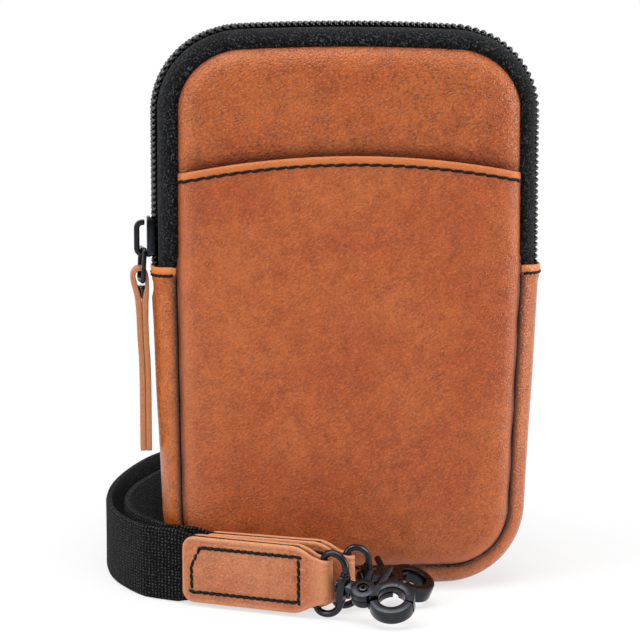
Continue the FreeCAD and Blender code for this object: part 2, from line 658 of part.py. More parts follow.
def points_of(parts, step):
    """Points along a route, for measuring how near it comes to itself."""
    spots = []
    for part in parts:
        if part[0] == "line":
            count = max(1, int((part[2] - part[1]).Length / step))
            spots += [part[1] + (part[2] - part[1]) * (i / count) for i in range(count)]
            continue
        kind, enter, leave, middle, radius = part
        angle = (enter - middle).getAngle(leave - middle)
        sign = 1 if (enter - middle).cross(leave - middle).z > 0 else -1
        count = max(2, int(radius * angle / step))
        for i in range(count):
            spots.append(middle + Turn(Z_AXIS, math.degrees(sign * angle * i / count)).multVec(enter - middle))
    return spots


def half_way(first, last):
    return ((first[0] + last[0]) / 2, (first[1] + last[1]) / 2)


# One stretch meets the next half way along a straight run.
outer_join = half_way(OUTER_ROUTE[-1], COIL_ROUTE[0])
inner_join = half_way(COIL_ROUTE[-1], INNER_ROUTE[0])
held = value("tab_length - neck_slope")
lead = value("tab_lead")
outer_yaw = value("outer_yaw")
inner_yaw = value("inner_yaw")


def on_tab_line(spot, yaw, way):
    """A point on the middle line of a tab, from its webbing end."""
    along = Turn(Z_AXIS, -yaw).multVec(X_AXIS) * way
    return (spot[0] + along.x, spot[1] + along.y)


outer_end = [on_tab_line(OUTER_TAB, outer_yaw, held), on_tab_line(OUTER_TAB, outer_yaw, -lead)]
inner_end = [on_tab_line(INNER_TAB, inner_yaw, -lead), on_tab_line(INNER_TAB, inner_yaw, held)]
outer_parts = bends_of(outer_end + OUTER_ROUTE + [outer_join])
coil_parts = bends_of([outer_join] + COIL_ROUTE + [inner_join])
inner_parts = bends_of([inner_join] + INNER_ROUTE + inner_end)
nodes["strap_outer_run"] = webbing("strap_outer_run", outer_parts)
nodes["strap_coil"] = webbing("strap_coil", coil_parts)
nodes["strap_inner_run"] = webbing("strap_inner_run", inner_parts)
whole = points_of(outer_parts + coil_parts + inner_parts, value("web_thickness"))
apart = 30
least = min(
    (whole[i] - whole[j]).Length
    for i in range(len(whole))
    for j in range(i + apart, len(whole))
)
print("strap: least gap to itself", round(least - value("web_thickness"), 2))

# The leather tabs, folded round the swivel eyes and sewn over the webbing.
TAB_THICKNESS = "(web_thickness + 2 * tab_layer)"
TAB_LOW = "(web_width - tab_height) / 2"
TAB_HIGH = "(web_width + tab_height) / 2"
NECK_LOW = "(web_width - neck_height) / 2"
NECK_HIGH = "(web_width + neck_height) / 2"
TAB_END = "(tab_length + neck_length)"


def bar_play(which):
    """Half of the room that a tilted bar takes up in its tab."""
    droop = f"{which}_droop"
    return f"(neck_height / 2 * tan({droop}) + eye_wire / cos({droop}) + bar_slack)"


def bar_at(which):
    return f"({TAB_END} - end_leather - {bar_play(which)})"


TAB_SLOT = "(tab_length - neck_slope)"
MID_HEIGHT = "(web_width / 2)"


def tab(which, spot, yaw):
    name = f"strap_tab_{which}"
    near, far = f"{bar_at(which)} - {bar_play(which)}", f"{bar_at(which)} + {bar_play(which)}"
    body = doc.addObject("PartDesign::Body", name)
    corners = [
        ("0", TAB_LOW, None),
        ("tab_length - neck_slope", TAB_LOW, None),
        ("tab_length", NECK_LOW, None),
        (TAB_END, NECK_LOW, None),
        (TAB_END, NECK_HIGH, None),
        ("tab_length", NECK_HIGH, None),
        ("tab_length - neck_slope", TAB_HIGH, None),
        ("0", TAB_HIGH, None),
    ]
    face = outline(body_sketch(body, name + "_face", "XZ_Plane"), corners)
    doc.recompute()
    leather = body.newObject("PartDesign::Pad", name + "_leather")
    leather.Profile = face
    leather.SideType = "Symmetric"
    bind(leather, Length=TAB_THICKNESS)
    doc.recompute()
    plan = body_sketch(body, name + "_plan", "XY_Plane")
    slot = [
        ("-cut_over", "-web_thickness / 2", None),
        (TAB_SLOT, "-web_thickness / 2", None),
        (TAB_SLOT, "web_thickness / 2", None),
        ("-cut_over", "web_thickness / 2", None),
    ]
    outline(plan, slot)
    bar_room = [
        (near, "-eye_wire - running_fit", "eye_wire"),
        (far, "-eye_wire - running_fit", "eye_wire"),
        (far, "eye_wire + running_fit", "eye_wire"),
        (near, "eye_wire + running_fit", "eye_wire"),
    ]
    outline(plan, bar_room)
    doc.recompute()
    cut = body.newObject("PartDesign::Pocket", name + "_rooms")
    cut.Profile = plan
    cut.SideType = "Symmetric"
    cut.Type = "ThroughAll"
    body.Placement = FreeCAD.Placement(V(spot[0], spot[1], 0), Turn(Z_AXIS, -yaw))
    doc.recompute()
    return body


HALF_T = "hook_half_thickness"
HALF_LAYER = "(hook_half_thickness - jaw_half_gap)"
FULL_LAYER = "2 * hook_half_thickness"
EYE_HALF_HEIGHT = "(neck_height / 2 + eye_room + eye_wire)"
LUG_REACH = "(claw_outer - lug_sink)"
HUB_T = "hub_half_thickness"
HUB_LAYER = "(hub_half_thickness - jaw_half_gap)"
ARM_ROOT = "hub_radius - hub_overlap"
ARM_LENGTH = f"claw_reach - claw_inner - ({ARM_ROOT})"


def ring_slice(name, start, end, low, height):
    """A slice of the claw ring between two angles in degrees."""
    angle = f"({end}) - ({start})"
    outer = rod(name + "_outer", "claw_outer", height, ("claw_reach", "0", low), "z", angle, value(start))
    inner = rod(name + "_hole", "claw_inner", f"4 * {HALF_T}", ("claw_reach", "0", f"-2 * {HALF_T}"))
    return without(name, outer, [inner])


def hook_pieces(which, spot, yaw, swing):
    """A swivel eye and a scissor hook, made in the hook's own frame and then placed."""
    eye_reach = f"(end_leather + {bar_play(which)} + head_room + post_head_length + head_gap + barrel_length / 2)"
    eye_bow = f"(({eye_reach} - eye_corner) * eye_bow_share)"
    hook_reach = f"({eye_reach} + barrel_length / 2 + collar_gap + collar_length + hub_gap + hub_radius)"
    bar_x, bar_y = on_tab_line(spot, yaw, value(bar_at(which)))
    bar_spot = V(bar_x, bar_y, value(MID_HEIGHT))
    eye_turn = Turn(Z_AXIS, -yaw) * Turn(Y_AXIS, value(f"{which}_droop")) * Turn(Z_AXIS, swing)
    hook_turn = eye_turn * Turn(X_AXIS, value(f"{which}_roll"))
    pivot = bar_spot + eye_turn.multVec(V(value(hook_reach), 0, 0))
    eye_name = f"swivel_eye_{which}"
    loop = wire_loop(eye_name + "_wire", eye_reach, EYE_HALF_HEIGHT, "eye_corner", eye_bow, "eye_wire")
    barrel = box(
        eye_name + "_barrel", ("barrel_length", "barrel_depth", "barrel_height"),
        (f"{eye_reach} - barrel_length / 2", "-barrel_depth / 2", "-barrel_height / 2"),
    )
    bore = rod(eye_name + "_bore", "post_radius + running_fit", "2 * barrel_length", (f"{eye_reach} - barrel_length", "0", "0"), "x")
    eye = without(eye_name, joined(eye_name + "_whole", [loop, barrel]), [bore])
    eye.Placement = FreeCAD.Placement(bar_spot, eye_turn)

    # The fixed jaw carries the swivel post, the front half of the hub and the upper claw.
    name = f"hook_{which}"
    neck_end = "(-hub_radius - hub_gap)"
    collar = f"({neck_end} - collar_length)"
    barrel_in = f"({collar} - collar_gap - barrel_length)"
    neck_low = "-hook_neck_width / 2"
    head_start = f"({barrel_in} - head_gap - post_head_length)"
    front_low = "jaw_half_gap"
    back_low = f"-{HALF_T}"
    fixed = joined(name + "_whole", [
        rod(name + "_hub", "hub_radius", HUB_LAYER, ("0", "0", front_low)),
        box(name + "_arm", (ARM_LENGTH, "arm_width", HALF_LAYER), (ARM_ROOT, "-arm_overlap", front_low)),
        ring_slice(name + "_half", "claw_full_end - claw_overlap", "claw_half_end", front_low, HALF_LAYER),
        ring_slice(name + "_full", "claw_slit", "claw_full_end", back_low, FULL_LAYER),
        box(name + "_neck", (f"hub_overlap - hub_radius - {collar}", "hook_neck_width", HALF_LAYER), (collar, neck_low, front_low)),
        box(name + "_collar", (f"{neck_end} - {collar}", "hook_neck_width", FULL_LAYER), (collar, neck_low, back_low)),
        rod(name + "_post", "post_radius", f"({collar} + {neck_end}) / 2 - {head_start}", (head_start, "0", "0"), "x"),
        rod(name + "_head", "post_head_radius", "post_head_length", (head_start, "0", "0"), "x"),
    ])
    rivet_hole = rod(name + "_rivet_hole", "post_radius", f"4 * {HALF_T}", ("0", "0", f"-2 * {HALF_T}"))
    hook = without(name, fixed, [rivet_hole])

    # The moving jaw has the back half of the hub, the lower claw and the thumb lug.
    name = f"hook_jaw_{which}"
    lug = rod(
        name + "_lug", "lug_radius", "lug_length",
        (f"claw_reach + {LUG_REACH} * cos(lug_angle)", f"{LUG_REACH} * sin(lug_angle)", f"-({HALF_T} + jaw_half_gap) / 2"),
        "y",
    )
    lug_arm = ring_slice(name + "_lug_arm", "jaw_half_start", "jaw_full_start + claw_overlap", back_low, HALF_LAYER)
    moving = joined(name + "_whole", [
        rod(name + "_hub", "hub_radius", HUB_LAYER, ("0", "0", f"-{HUB_T}")),
        box(name + "_arm", (ARM_LENGTH, "arm_width", HALF_LAYER), (ARM_ROOT, "arm_overlap - arm_width", back_low)),
        ring_slice(name + "_full", "jaw_full_start", "360 - claw_slit", back_low, FULL_LAYER),
        lug_arm,
        lug,
    ])
    hole = rod(name + "_hole", "post_radius + running_fit", f"4 * {HALF_T}", ("0", "0", f"-2 * {HALF_T}"))
    groove_outer = rod(name + "_groove_outer", "spring_ring + 2 * spring_wire", "spring_room", ("0", "0", "-jaw_half_gap - spring_room"))
    groove_inner = rod(name + "_groove_inner", "spring_ring - 2 * spring_wire", "2 * spring_room", ("0", "0", "-jaw_half_gap - 1.5 * spring_room"))
    groove = without(name + "_groove", groove_outer, [groove_inner])
    jaw = without(name, moving, [hole, groove])

    name = f"hook_rivet_{which}"
    rivet = joined(name + "_whole", [
        rod(name + "_shank", "post_radius", f"2 * {HUB_T} + 2 * running_fit", ("0", "0", f"-{HUB_T} - running_fit")),
        rod(name + "_face", "rivet_head_radius", "rivet_head_height", ("0", "0", HUB_T)),
        rod(name + "_back", "rivet_head_radius", "rivet_head_height", ("0", "0", f"-{HUB_T} - running_fit - rivet_head_height")),
    ])
    dimple = rod(name + "_dimple", "dimple_radius", "dimple_depth + cut_over", ("0", "0", f"{HUB_T} + rivet_head_height - dimple_depth"))
    rivet = without(name, rivet, [dimple])

    spring = doc.addObject("Part::Torus", f"hook_spring_{which}")
    bind(spring, Radius1="spring_ring", Radius2="spring_wire", Angle3="300")
    at = V(0, 0, -value("jaw_half_gap + spring_room / 2"))
    for item in (hook, jaw, rivet):
        item.Placement = FreeCAD.Placement(pivot, hook_turn)
    spring.Placement = FreeCAD.Placement(pivot + hook_turn.multVec(at), hook_turn)
    nodes[eye_name] = eye
    nodes[f"hook_{which}"] = hook
    nodes[f"hook_jaw_{which}"] = jaw
    nodes[f"hook_rivet_{which}"] = rivet
    nodes[f"hook_spring_{which}"] = spring
    axes = [hook_turn.multVec(arm) for arm in (X_AXIS, Y_AXIS, Z_AXIS)]
    print(which, "bar", bar_spot, "bar axis", eye_turn.multVec(Z_AXIS), "pivot", pivot, "axes", axes)


nodes["strap_tab_outer"] = tab("outer", OUTER_TAB, outer_yaw)
nodes["strap_tab_inner"] = tab("inner", INNER_TAB, inner_yaw)
hook_pieces("outer", OUTER_TAB, outer_yaw, 0)
hook_pieces("inner", INNER_TAB, inner_yaw, value("inner_yaw + inner_eye_back"))

doc.recompute()
for name, item in nodes.items():
    item.Label = name
doc.recompute()
for item in doc.Objects:
    if "Invalid" in item.State or "Error" in item.State:
        raise SystemExit(f"{item.Name} failed: {item.State}")
for name, item in nodes.items():
    shape = item.Shape
    if shape.isNull() or not shape.isValid() or len(shape.Solids) != 1:
        raise SystemExit(f"{name}: not one valid solid ({len(shape.Solids)})")
os.makedirs("parts", exist_ok=True)
for name, item in nodes.items():
    item.Shape.exportStep(f"parts/{name}.step")
print(len(nodes), "parts written")
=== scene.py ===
"""Leather phone pouch: the looks of its leather, zip, strap and hooks.

Lengths in the drawing functions are millimetres; the meshes are in metres.
"""
import bpy
import numpy as np
from math import acos, copysign, cos, exp, hypot, pi, radians, sin, sqrt, tan
from mathutils import Matrix, Vector, noise


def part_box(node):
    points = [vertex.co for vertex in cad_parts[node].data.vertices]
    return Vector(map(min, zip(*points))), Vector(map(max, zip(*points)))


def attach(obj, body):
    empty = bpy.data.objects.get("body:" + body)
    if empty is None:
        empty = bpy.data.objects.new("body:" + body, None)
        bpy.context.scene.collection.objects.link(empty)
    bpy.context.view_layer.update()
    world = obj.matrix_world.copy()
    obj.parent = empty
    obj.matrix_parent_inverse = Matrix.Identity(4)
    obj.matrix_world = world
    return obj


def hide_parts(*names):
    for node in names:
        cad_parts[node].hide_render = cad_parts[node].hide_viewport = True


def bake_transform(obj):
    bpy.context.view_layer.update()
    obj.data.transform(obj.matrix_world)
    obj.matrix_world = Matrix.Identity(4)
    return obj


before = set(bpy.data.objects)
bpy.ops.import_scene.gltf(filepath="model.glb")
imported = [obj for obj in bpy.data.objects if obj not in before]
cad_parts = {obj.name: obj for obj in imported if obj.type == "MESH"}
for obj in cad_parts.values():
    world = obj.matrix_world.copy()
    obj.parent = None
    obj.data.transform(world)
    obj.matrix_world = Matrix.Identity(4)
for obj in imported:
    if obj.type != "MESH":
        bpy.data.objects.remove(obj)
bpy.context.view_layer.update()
MM = 0.001

# ---- camera

eye = bpy.data.cameras.new("view_camera")
eye.lens = 122.46
eye.sensor_width = 36.0
eye.clip_start = 0.01
viewer = bpy.data.objects.new("view_camera", eye)
bpy.context.collection.objects.link(viewer)
viewer.location = (-0.0744, -0.6969, 0.16734)
aim = Vector((-0.00828, 0.0, 0.08631)) - viewer.location
viewer.rotation_euler = aim.to_track_quat("-Z", "Y").to_euler()
bpy.context.scene.camera = viewer
bpy.context.scene.view_settings.view_transform = "Standard"


# ---- materials

def tint(code):
    """A colour from its sRGB hex code, in linear values."""
    parts = [int(code[i:i + 2], 16) / 255 for i in (1, 3, 5)]
    linear = [c / 12.92 if c <= 0.04045 else ((c + 0.055) / 1.055) ** 2.4 for c in parts]
    return (*linear, 1.0)


def add(tree, kind, settings=None, **sockets):
    """Add one node; a socket, by its name or as i and its number, takes a value, an output or a whole node."""
    made = tree.nodes.new(kind)
    for key, entry in (settings or {}).items():
        setattr(made, key, entry)
    for key, entry in sockets.items():
        number = key[0] == "i" and key[1:].isdigit()
        spot = made.inputs[int(key[1:]) if number else key.replace("_", " ")]
        if isinstance(entry, bpy.types.Node):
            entry = next(out for out in entry.outputs if out.enabled)
        if isinstance(entry, bpy.types.NodeSocket):
            tree.links.new(entry, spot)
        else:
            spot.default_value = entry
    return made


def start_material(name):
    """A bare material, its tree, and the place on the piece that its patterns are drawn by."""
    made = bpy.data.materials.new(name)
    made.use_nodes = True
    made.node_tree.nodes.clear()
    return made, made.node_tree, add(made.node_tree, "ShaderNodeTexCoord").outputs["Object"]


TIMES, PLUS, MOST = ({"operation": word} for word in ("MULTIPLY", "ADD", "MAXIMUM"))
WIDEN, POWER = {"operation": "MULTIPLY_ADD"}, {"operation": "POWER"}
EASE = {"interpolation_type": "SMOOTHSTEP"}
TINTS = {"data_type": "RGBA"}
STRETCH = {"vector_type": "TEXTURE"}


def leather(name, base, deep, worn, grain, pore, depth, shine):
    """Waxed, vegetable-tanned cowhide: pebbled grain and slanting pores, in millimetres, over a slow mottle.

    It paints small highlights (glints) between dark pores, shade in the grain's creases and down the seams, and paler
    edges: worn leather with painted highlight.
    """
    made, tree, place = start_material(name)
    warp = add(tree, "ShaderNodeTexNoise", Vector=place, Scale=1000 / 3.0, Detail=2.0).outputs["Color"]
    bent = add(tree, "ShaderNodeVectorMath", WIDEN, i0=warp, i1=(0.0008,) * 3, i2=place)
    pebbles = add(tree, "ShaderNodeTexVoronoi", {"feature": "DISTANCE_TO_EDGE"}, Vector=bent, Scale=1000 / grain)
    slant = add(tree, "ShaderNodeMapping", STRETCH, Vector=bent, Rotation=(0.0, -0.5, 0.0), Scale=(1.9, 1.0, 1.0))
    dots = add(tree, "ShaderNodeTexVoronoi", {"feature": "F1"}, Vector=slant, Scale=1000 / pore, Randomness=0.9)
    fine = add(tree, "ShaderNodeTexNoise", Vector=slant, Scale=1000 / 0.5, Detail=2.0, Roughness=0.6)
    patch = add(tree, "ShaderNodeTexNoise", Vector=place, Scale=1000 / 5.0, Detail=3.0, Roughness=0.6)
    broad = add(tree, "ShaderNodeTexNoise", Vector=place, Scale=1000 / 27.0, Detail=4.0, Roughness=0.55)
    # Each mask is a pattern between two of its values, turned into a strength between two strengths.
    masks = (
        (pebbles, 0.0, 0.22, 1.0, 0.0), (dots, 0.12, 0.46, 1.0, 0.0), (patch, 0.36, 0.60, 0.55, 1.0),
        (broad, 0.32, 0.70, 0.0, 0.45), (patch, 0.35, 0.68, 0.0, 0.28),
        (fine, 0.50, 0.34, 0.0, 0.34), (fine, 0.50, 0.72, 0.0, 0.55),
    )
    # Glint paints small highlights between the pores.
    crease, hole, crowd, pale, dark, speck, glint = (
        add(tree, "ShaderNodeMapRange", EASE, Value=pattern, i1=start, i2=stop, i3=low, i4=high)
        for pattern, start, stop, low, high in masks
    )
    hole = add(tree, "ShaderNodeMath", TIMES, i0=hole, i1=crowd)
    # Painted shade in the grain's creases.
    sunk = add(tree, "ShaderNodeMath", TIMES, i0=crease, i1=0.30 * depth)
    pit = add(tree, "ShaderNodeMath", TIMES, i0=hole, i1=0.62 * depth)
    # The painted shade that each piece gives down its seams and above the pocket's edge.
    seam, edge = (
        add(tree, "ShaderNodeAttribute", {"attribute_name": word}).outputs["Fac"] for word in ("sunk", "wear"))
    # A steep power of it paints a near-black shadow line in the seam's gap.
    painted_seam_shadow = add(tree, "ShaderNodeMath", POWER, i0=seam, i1=6.0)
    layers = (
        (pale, worn), (dark, deep), (speck, deep), (glint, worn), (sunk, deep), (pit, deep), (seam, deep),
        (painted_seam_shadow, "#0d0402"), (edge, worn),
    )
    # The last layer pales the edges: worn leather, with painted highlight on raised hems and rolls.
    colour = tint(base)
    for share, code in layers:
        colour = add(tree, "ShaderNodeMix", TINTS, i0=share, i6=colour, i7=tint(code))
    height = fine
    for pattern, amount in ((crease, -0.55 * depth), (hole, -0.9 * depth), (patch, 0.8)):
        height = add(tree, "ShaderNodeMath", WIDEN, i0=pattern, i1=amount, i2=height)
    bump = add(tree, "ShaderNodeBump", Strength=0.5, Distance=0.0004, Height=height)
    dull, waxed = 0.58 - 0.2 * shine, 0.44 - 0.2 * shine
    rough = add(tree, "ShaderNodeMapRange", Value=patch, i1=0.3, i2=0.7, i3=dull, i4=waxed)
    skin = add(
        tree, "ShaderNodeBsdfPrincipled", Base_Color=colour, Roughness=rough, Normal=bump, Specular_IOR_Level=0.38)
    add(tree, "ShaderNodeOutputMaterial", Surface=skin)
    return made


def felt_tape():
    """Black brushed polyester tape: dull, nearly black, with paler lint that catches the light.

    The lint is drawn 0.6 mm apart, as coarse as it needs to be to show.
    """
    made, tree, place = start_material("black_brushed_polyester")
    fibre = add(tree, "ShaderNodeTexNoise", Vector=place, Scale=1000 / 0.6, Detail=3.0, Roughness=0.7)
    clump = add(tree, "ShaderNodeTexNoise", Vector=place, Scale=1000 / 2.4, Detail=3.0)
    lint = add(tree, "ShaderNodeMapRange", EASE, Value=fibre, i1=0.50, i2=0.70, i3=0.0, i4=0.62)
    shade = add(tree, "ShaderNodeMapRange", EASE, Value=clump, i1=0.45, i2=0.7, i3=0.0, i4=0.45)
    colour = add(tree, "ShaderNodeMix", TINTS, i0=lint, i6=tint("#060607"), i7=tint("#606266"))
    colour = add(tree, "ShaderNodeMix", TINTS, i0=shade, i6=colour, i7=tint("#08080a"))
    bump = add(tree, "ShaderNodeBump", Strength=0.6, Distance=0.0004, Height=fibre)
    cloth = add(
        tree, "ShaderNodeBsdfPrincipled", Base_Color=colour, Roughness=0.9, Normal=bump, Specular_IOR_Level=0.1,
        Sheen_Weight=0.03, Sheen_Roughness=0.5)
    add(tree, "ShaderNodeOutputMaterial", Surface=cloth)
    return made


def cotton_webbing():
    """Black cotton webbing: ribs 1.25 mm apart with picks across them, fuzzy and dull.

    Its map runs along and across the webbing, in metres.
    """
    made, tree, place = start_material("black_cotton_webbing")
    along = add(tree, "ShaderNodeUVMap", {"uv_map": "weave"})
    wobble = add(tree, "ShaderNodeTexNoise", Vector=place, Scale=1000 / 2.0, Detail=2.0).outputs["Color"]
    bent = add(tree, "ShaderNodeVectorMath", WIDEN, i0=wobble, i1=(0.0012, 0.0012, 0.0), i2=along)
    # A wave texture repeats every 2 pi over 20 units at scale 1.
    rib, pick = (
        add(
            tree, "ShaderNodeTexWave", {"wave_type": "BANDS", "bands_direction": axis, "wave_profile": "SIN"},
            Vector=bent, Scale=1000 / gap * 2 * pi / 20, Distortion=uneven, Detail=detail,
        ).outputs["Fac"]
        for axis, gap, uneven, detail in (("X", 1.25, 0.0, 2.0), ("Y", 0.95, 1.2, 1.0))
    )
    fuzz = add(tree, "ShaderNodeTexNoise", Vector=place, Scale=1000 / 0.6, Detail=4.0, Roughness=0.75)
    half = add(tree, "ShaderNodeMath", WIDEN, i0=pick, i1=0.6, i2=0.4)
    weave = add(tree, "ShaderNodeMath", TIMES, i0=rib, i1=half)
    height = add(tree, "ShaderNodeMath", PLUS, i0=weave, i1=fuzz)
    crest = add(tree, "ShaderNodeMath", PLUS, i0=weave, i1=0.5)
    lint = add(tree, "ShaderNodeMath", TIMES, i0=fuzz, i1=crest)
    fleck = add(tree, "ShaderNodeMapRange", EASE, Value=lint, i1=0.54, i2=0.80, i3=0.0, i4=1.0)
    colour = add(tree, "ShaderNodeMix", TINTS, i0=fleck, i6=tint("#040404"), i7=tint("#56565a"))
    bump = add(tree, "ShaderNodeBump", Strength=0.9, Distance=0.0006, Height=height)
    cloth = add(
        tree, "ShaderNodeBsdfPrincipled", Base_Color=colour, Roughness=0.95, Normal=bump, Specular_IOR_Level=0.12,
        Sheen_Weight=0.02, Sheen_Roughness=0.5)
    add(tree, "ShaderNodeOutputMaterial", Surface=cloth)
    return made


def plated_metal(name, base, worn, low, high):
    """Cast zinc with a plated finish: smooth flats that mirror the room, a little scuffed."""
    made, tree, place = start_material(name)
    haze = add(tree, "ShaderNodeTexNoise", Vector=place, Scale=1000 / 1.1, Detail=4.0, Roughness=0.65)
    scuff = add(tree, "ShaderNodeTexNoise", Vector=place, Scale=1000 / 3.8, Detail=5.0, Roughness=0.7)
    bare = add(tree, "ShaderNodeMapRange", EASE, Value=scuff, i1=0.50, i2=0.75, i3=0.0, i4=1.0)
    colour = add(tree, "ShaderNodeMix", TINTS, i0=bare, i6=tint(base), i7=tint(worn))
    rough = add(tree, "ShaderNodeMapRange", Value=haze, i1=0.3, i2=0.7, i3=low, i4=high)
    bump = add(tree, "ShaderNodeBump", Strength=0.06, Distance=0.0001, Height=haze)
    metal = add(tree, "ShaderNodeBsdfPrincipled", Base_Color=colour, Roughness=rough, Metallic=1.0, Normal=bump)
    add(tree, "ShaderNodeOutputMaterial", Surface=metal)
    return made


def plain_fibre(name, base, light, gap, roughness, specular):
    """Thread, nylon or lining: one hue with a fine uneven twist, gap millimetres apart."""
    made, tree, place = start_material(name)
    twist = add(tree, "ShaderNodeTexNoise", Vector=place, Scale=1000 / gap, Detail=3.0, Roughness=0.6)
    lit = add(tree, "ShaderNodeMapRange", EASE, Value=twist, i1=0.4, i2=0.72, i3=0.0, i4=1.0)
    colour = add(tree, "ShaderNodeMix", TINTS, i0=lit, i6=tint(base), i7=tint(light))
    bump = add(tree, "ShaderNodeBump", Strength=0.3, Distance=0.0001, Height=twist)
    fibre = add(
        tree, "ShaderNodeBsdfPrincipled", Base_Color=colour, Roughness=roughness, Normal=bump,
        Specular_IOR_Level=specular)
    add(tree, "ShaderNodeOutputMaterial", Surface=fibre)
    return made


PANEL_LEATHER = leather(
    "pebbled_tan_leather", "#a84a1b", "#5a2308", "#c87339", grain=1.3, pore=0.9, depth=0.9, shine=1.0)
POCKET_LEATHER = leather(
    "fine_tan_leather", "#ab4f22", "#64280b", "#c9733c", grain=0.85, pore=0.8, depth=0.60, shine=0.9)
BAND_LEATHER = leather(
    "soft_tan_leather", "#b25215", "#4e1f06", "#d67c36", grain=1.4, pore=1.0, depth=0.50, shine=1.1)
TAB_LEATHER = leather(
    "pale_tan_leather", "#b6683f", "#763a1b", "#d49065", grain=0.8, pore=0.8, depth=0.36, shine=0.7)
PULL_LEATHER = leather(
    "cut_tan_leather", "#9c5430", "#643116", "#c08056", grain=0.8, pore=0.8, depth=0.36, shine=0.7)
TAPE_CLOTH = felt_tape()
WEBBING = cotton_webbing()
BLACK_METAL = plated_metal("black_plated_zinc", "#35363a", "#3f4044", low=0.20, high=0.30)
SPRING_METAL = plated_metal("bright_spring_steel", "#8d8e90", "#a9a9ab", low=0.25, high=0.40)
NYLON = plain_fibre("black_nylon_monofilament", "#0a0a0b", "#18191b", gap=1.1, roughness=0.17, specular=0.75)
THREAD = plain_fibre("black_waxed_thread", "#050404", "#161413", gap=0.55, roughness=0.6, specular=0.2)
LINING = plain_fibre("dark_lining_cloth", "#2a2320", "#3c322c", gap=0.65, roughness=0.9, specular=0.2)


# ---- making helpers

def put(name, points, faces, material, wear=None, sunk=None):
    """A mesh from points in millimetres, with its worn places, which also carry painted highlight, and its painted
    shade.
    """
    mesh = bpy.data.meshes.new(name)
    mesh.from_pydata([tuple(float(c) * MM for c in p) for p in points], [], faces)
    mesh.validate()
    piece = bpy.data.objects.new(name, mesh)
    bpy.context.collection.objects.link(piece)
    mesh.materials.append(material)
    for word, values in (("wear", wear), ("sunk", sunk)):
        if values is not None:
            layer = mesh.attributes.new(word, "FLOAT", "POINT")
            layer.data.foreach_set("value", np.asarray(values, dtype=np.float32))
    mesh.polygons.foreach_set("use_smooth", [True] * len(mesh.polygons))
    return piece


def net(rows, around=False, flip=False, capped=False):
    """Points and faces over rows of points; around closes each row, and capped the first and last."""
    wide = len(rows[0])
    points = [p for row in rows for p in row]
    faces = []
    for i in range(len(rows) - 1):
        for j in range(wide if around else wide - 1):
            a, b = i * wide + j, i * wide + (j + 1) % wide
            faces.append((a, a + wide, b + wide, b) if flip else (a, b, b + wide, a + wide))
    if capped:
        faces += [tuple(range(wide)), tuple(reversed(range(len(points) - wide, len(points))))]
    return points, faces


def shifted(faces, by):
    """Faces whose points come later in a list by that many."""
    return [tuple(k + by for k in face) for face in faces]


def only(piece):
    """Select and activate one piece alone."""
    bpy.ops.object.select_all(action="DESELECT")
    piece.hide_set(False)
    piece.select_set(True)
    bpy.context.view_layer.objects.active = piece


def tidy_normals(piece, apart=0.00001):
    """Join points that lie this close together, and turn every face outwards."""
    only(piece)
    bpy.ops.object.mode_set(mode="EDIT")
    bpy.ops.mesh.select_all(action="SELECT")
    bpy.ops.mesh.remove_doubles(threshold=apart)
    bpy.ops.mesh.normals_make_consistent(inside=False)
    bpy.ops.object.mode_set(mode="OBJECT")
    return piece


def thicken(piece, wall, inside):
    """Give a skin its thickness inwards, with its own inside material."""
    piece.data.materials.append(inside)
    solid = piece.modifiers.new("wall", "SOLIDIFY")
    solid.thickness = wall * MM
    solid.offset = -1.0
    solid.material_offset = 1
    only(piece)
    bpy.ops.object.modifier_apply(modifier="wall")
    return piece


def settle(piece, body, slot, *nodes):
    """Let a piece ride on a body in place of CAD nodes; slot is not used."""
    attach(piece, body)
    if nodes:
        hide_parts(*nodes)
    return piece


def round_path(corners, step):
    """Points and outward normals along straight runs with rounded corners, in the XZ plane."""
    points = []
    normals = []
    at = np.array(corners[0][:2], float)
    last = len(corners) - 1

    def run_to(end):
        gap = end - at
        length = np.linalg.norm(gap)
        along = gap / length
        count = max(1, int(round(length / step)))
        for k in range(count):
            points.append(at + along * (k * length / count))
            normals.append(np.array((along[1], -along[0])))
        return along

    for i in range(1, last):
        corner = np.array(corners[i][:2], float)
        radius = corners[i][2]
        before = np.array(corners[i - 1][:2], float) - corner
        after = np.array(corners[i + 1][:2], float) - corner
        before /= np.linalg.norm(before)
        after /= np.linalg.norm(after)
        half = acos(float(np.clip(before @ after, -1, 1))) / 2
        reach = radius / tan(half)
        enter = corner + before * reach
        middle = corner + (before + after) / np.linalg.norm(before + after) * radius / sin(half)
        run_to(enter)
        arm = enter - middle
        swing = pi - 2 * half
        turn = 1.0 if before[0] * after[1] - before[1] * after[0] < 0 else -1.0
        pieces = max(4, int(round(radius * swing / step)))
        for k in range(pieces):
            angle = turn * swing * k / pieces
            c, s = cos(angle), sin(angle)
            spoke = np.array((c * arm[0] - s * arm[1], s * arm[0] + c * arm[1]))
            points.append(middle + spoke)
            normals.append(spoke / radius)
        at = corner + after * reach
    end = np.array(corners[last][:2], float)
    along = run_to(end)
    points.append(end)
    normals.append(np.array((along[1], -along[0])))
    return points, normals


def run_along(points):
    """The way run along a line at each of its points."""
    return np.concatenate([[0.0], np.cumsum(np.linalg.norm(np.diff(points, axis=0), axis=1))])


def sample(at, way, points):
    """A line's points where the way run along it is at."""
    points = np.asarray(points, float)
    return np.stack([np.interp(at, way, points[:, k]) for k in range(points.shape[1])], axis=-1)


def headings(line):
    """The unit direction of a line at each of its points."""
    along = np.gradient(line, axis=0)
    return along / np.linalg.norm(along, axis=1)[:, None]


def bunched(count):
    """Places from -1 to 1, closer together towards both ends."""
    return np.sin(np.linspace(-pi / 2, pi / 2, count))


def clamp(share):
    return min(1.0, max(0.0, share))


def eased(share):
    """A share kept between 0 and 1 that starts and stops smoothly."""
    share = clamp(share)
    return share * share * (3 - 2 * share)


def soft(x, y, z, size, amount):
    """A slow, uneven swelling of soft leather."""
    return amount * noise.noise(Vector((x / size, y / size, z / size)))


# ---- strap webbing

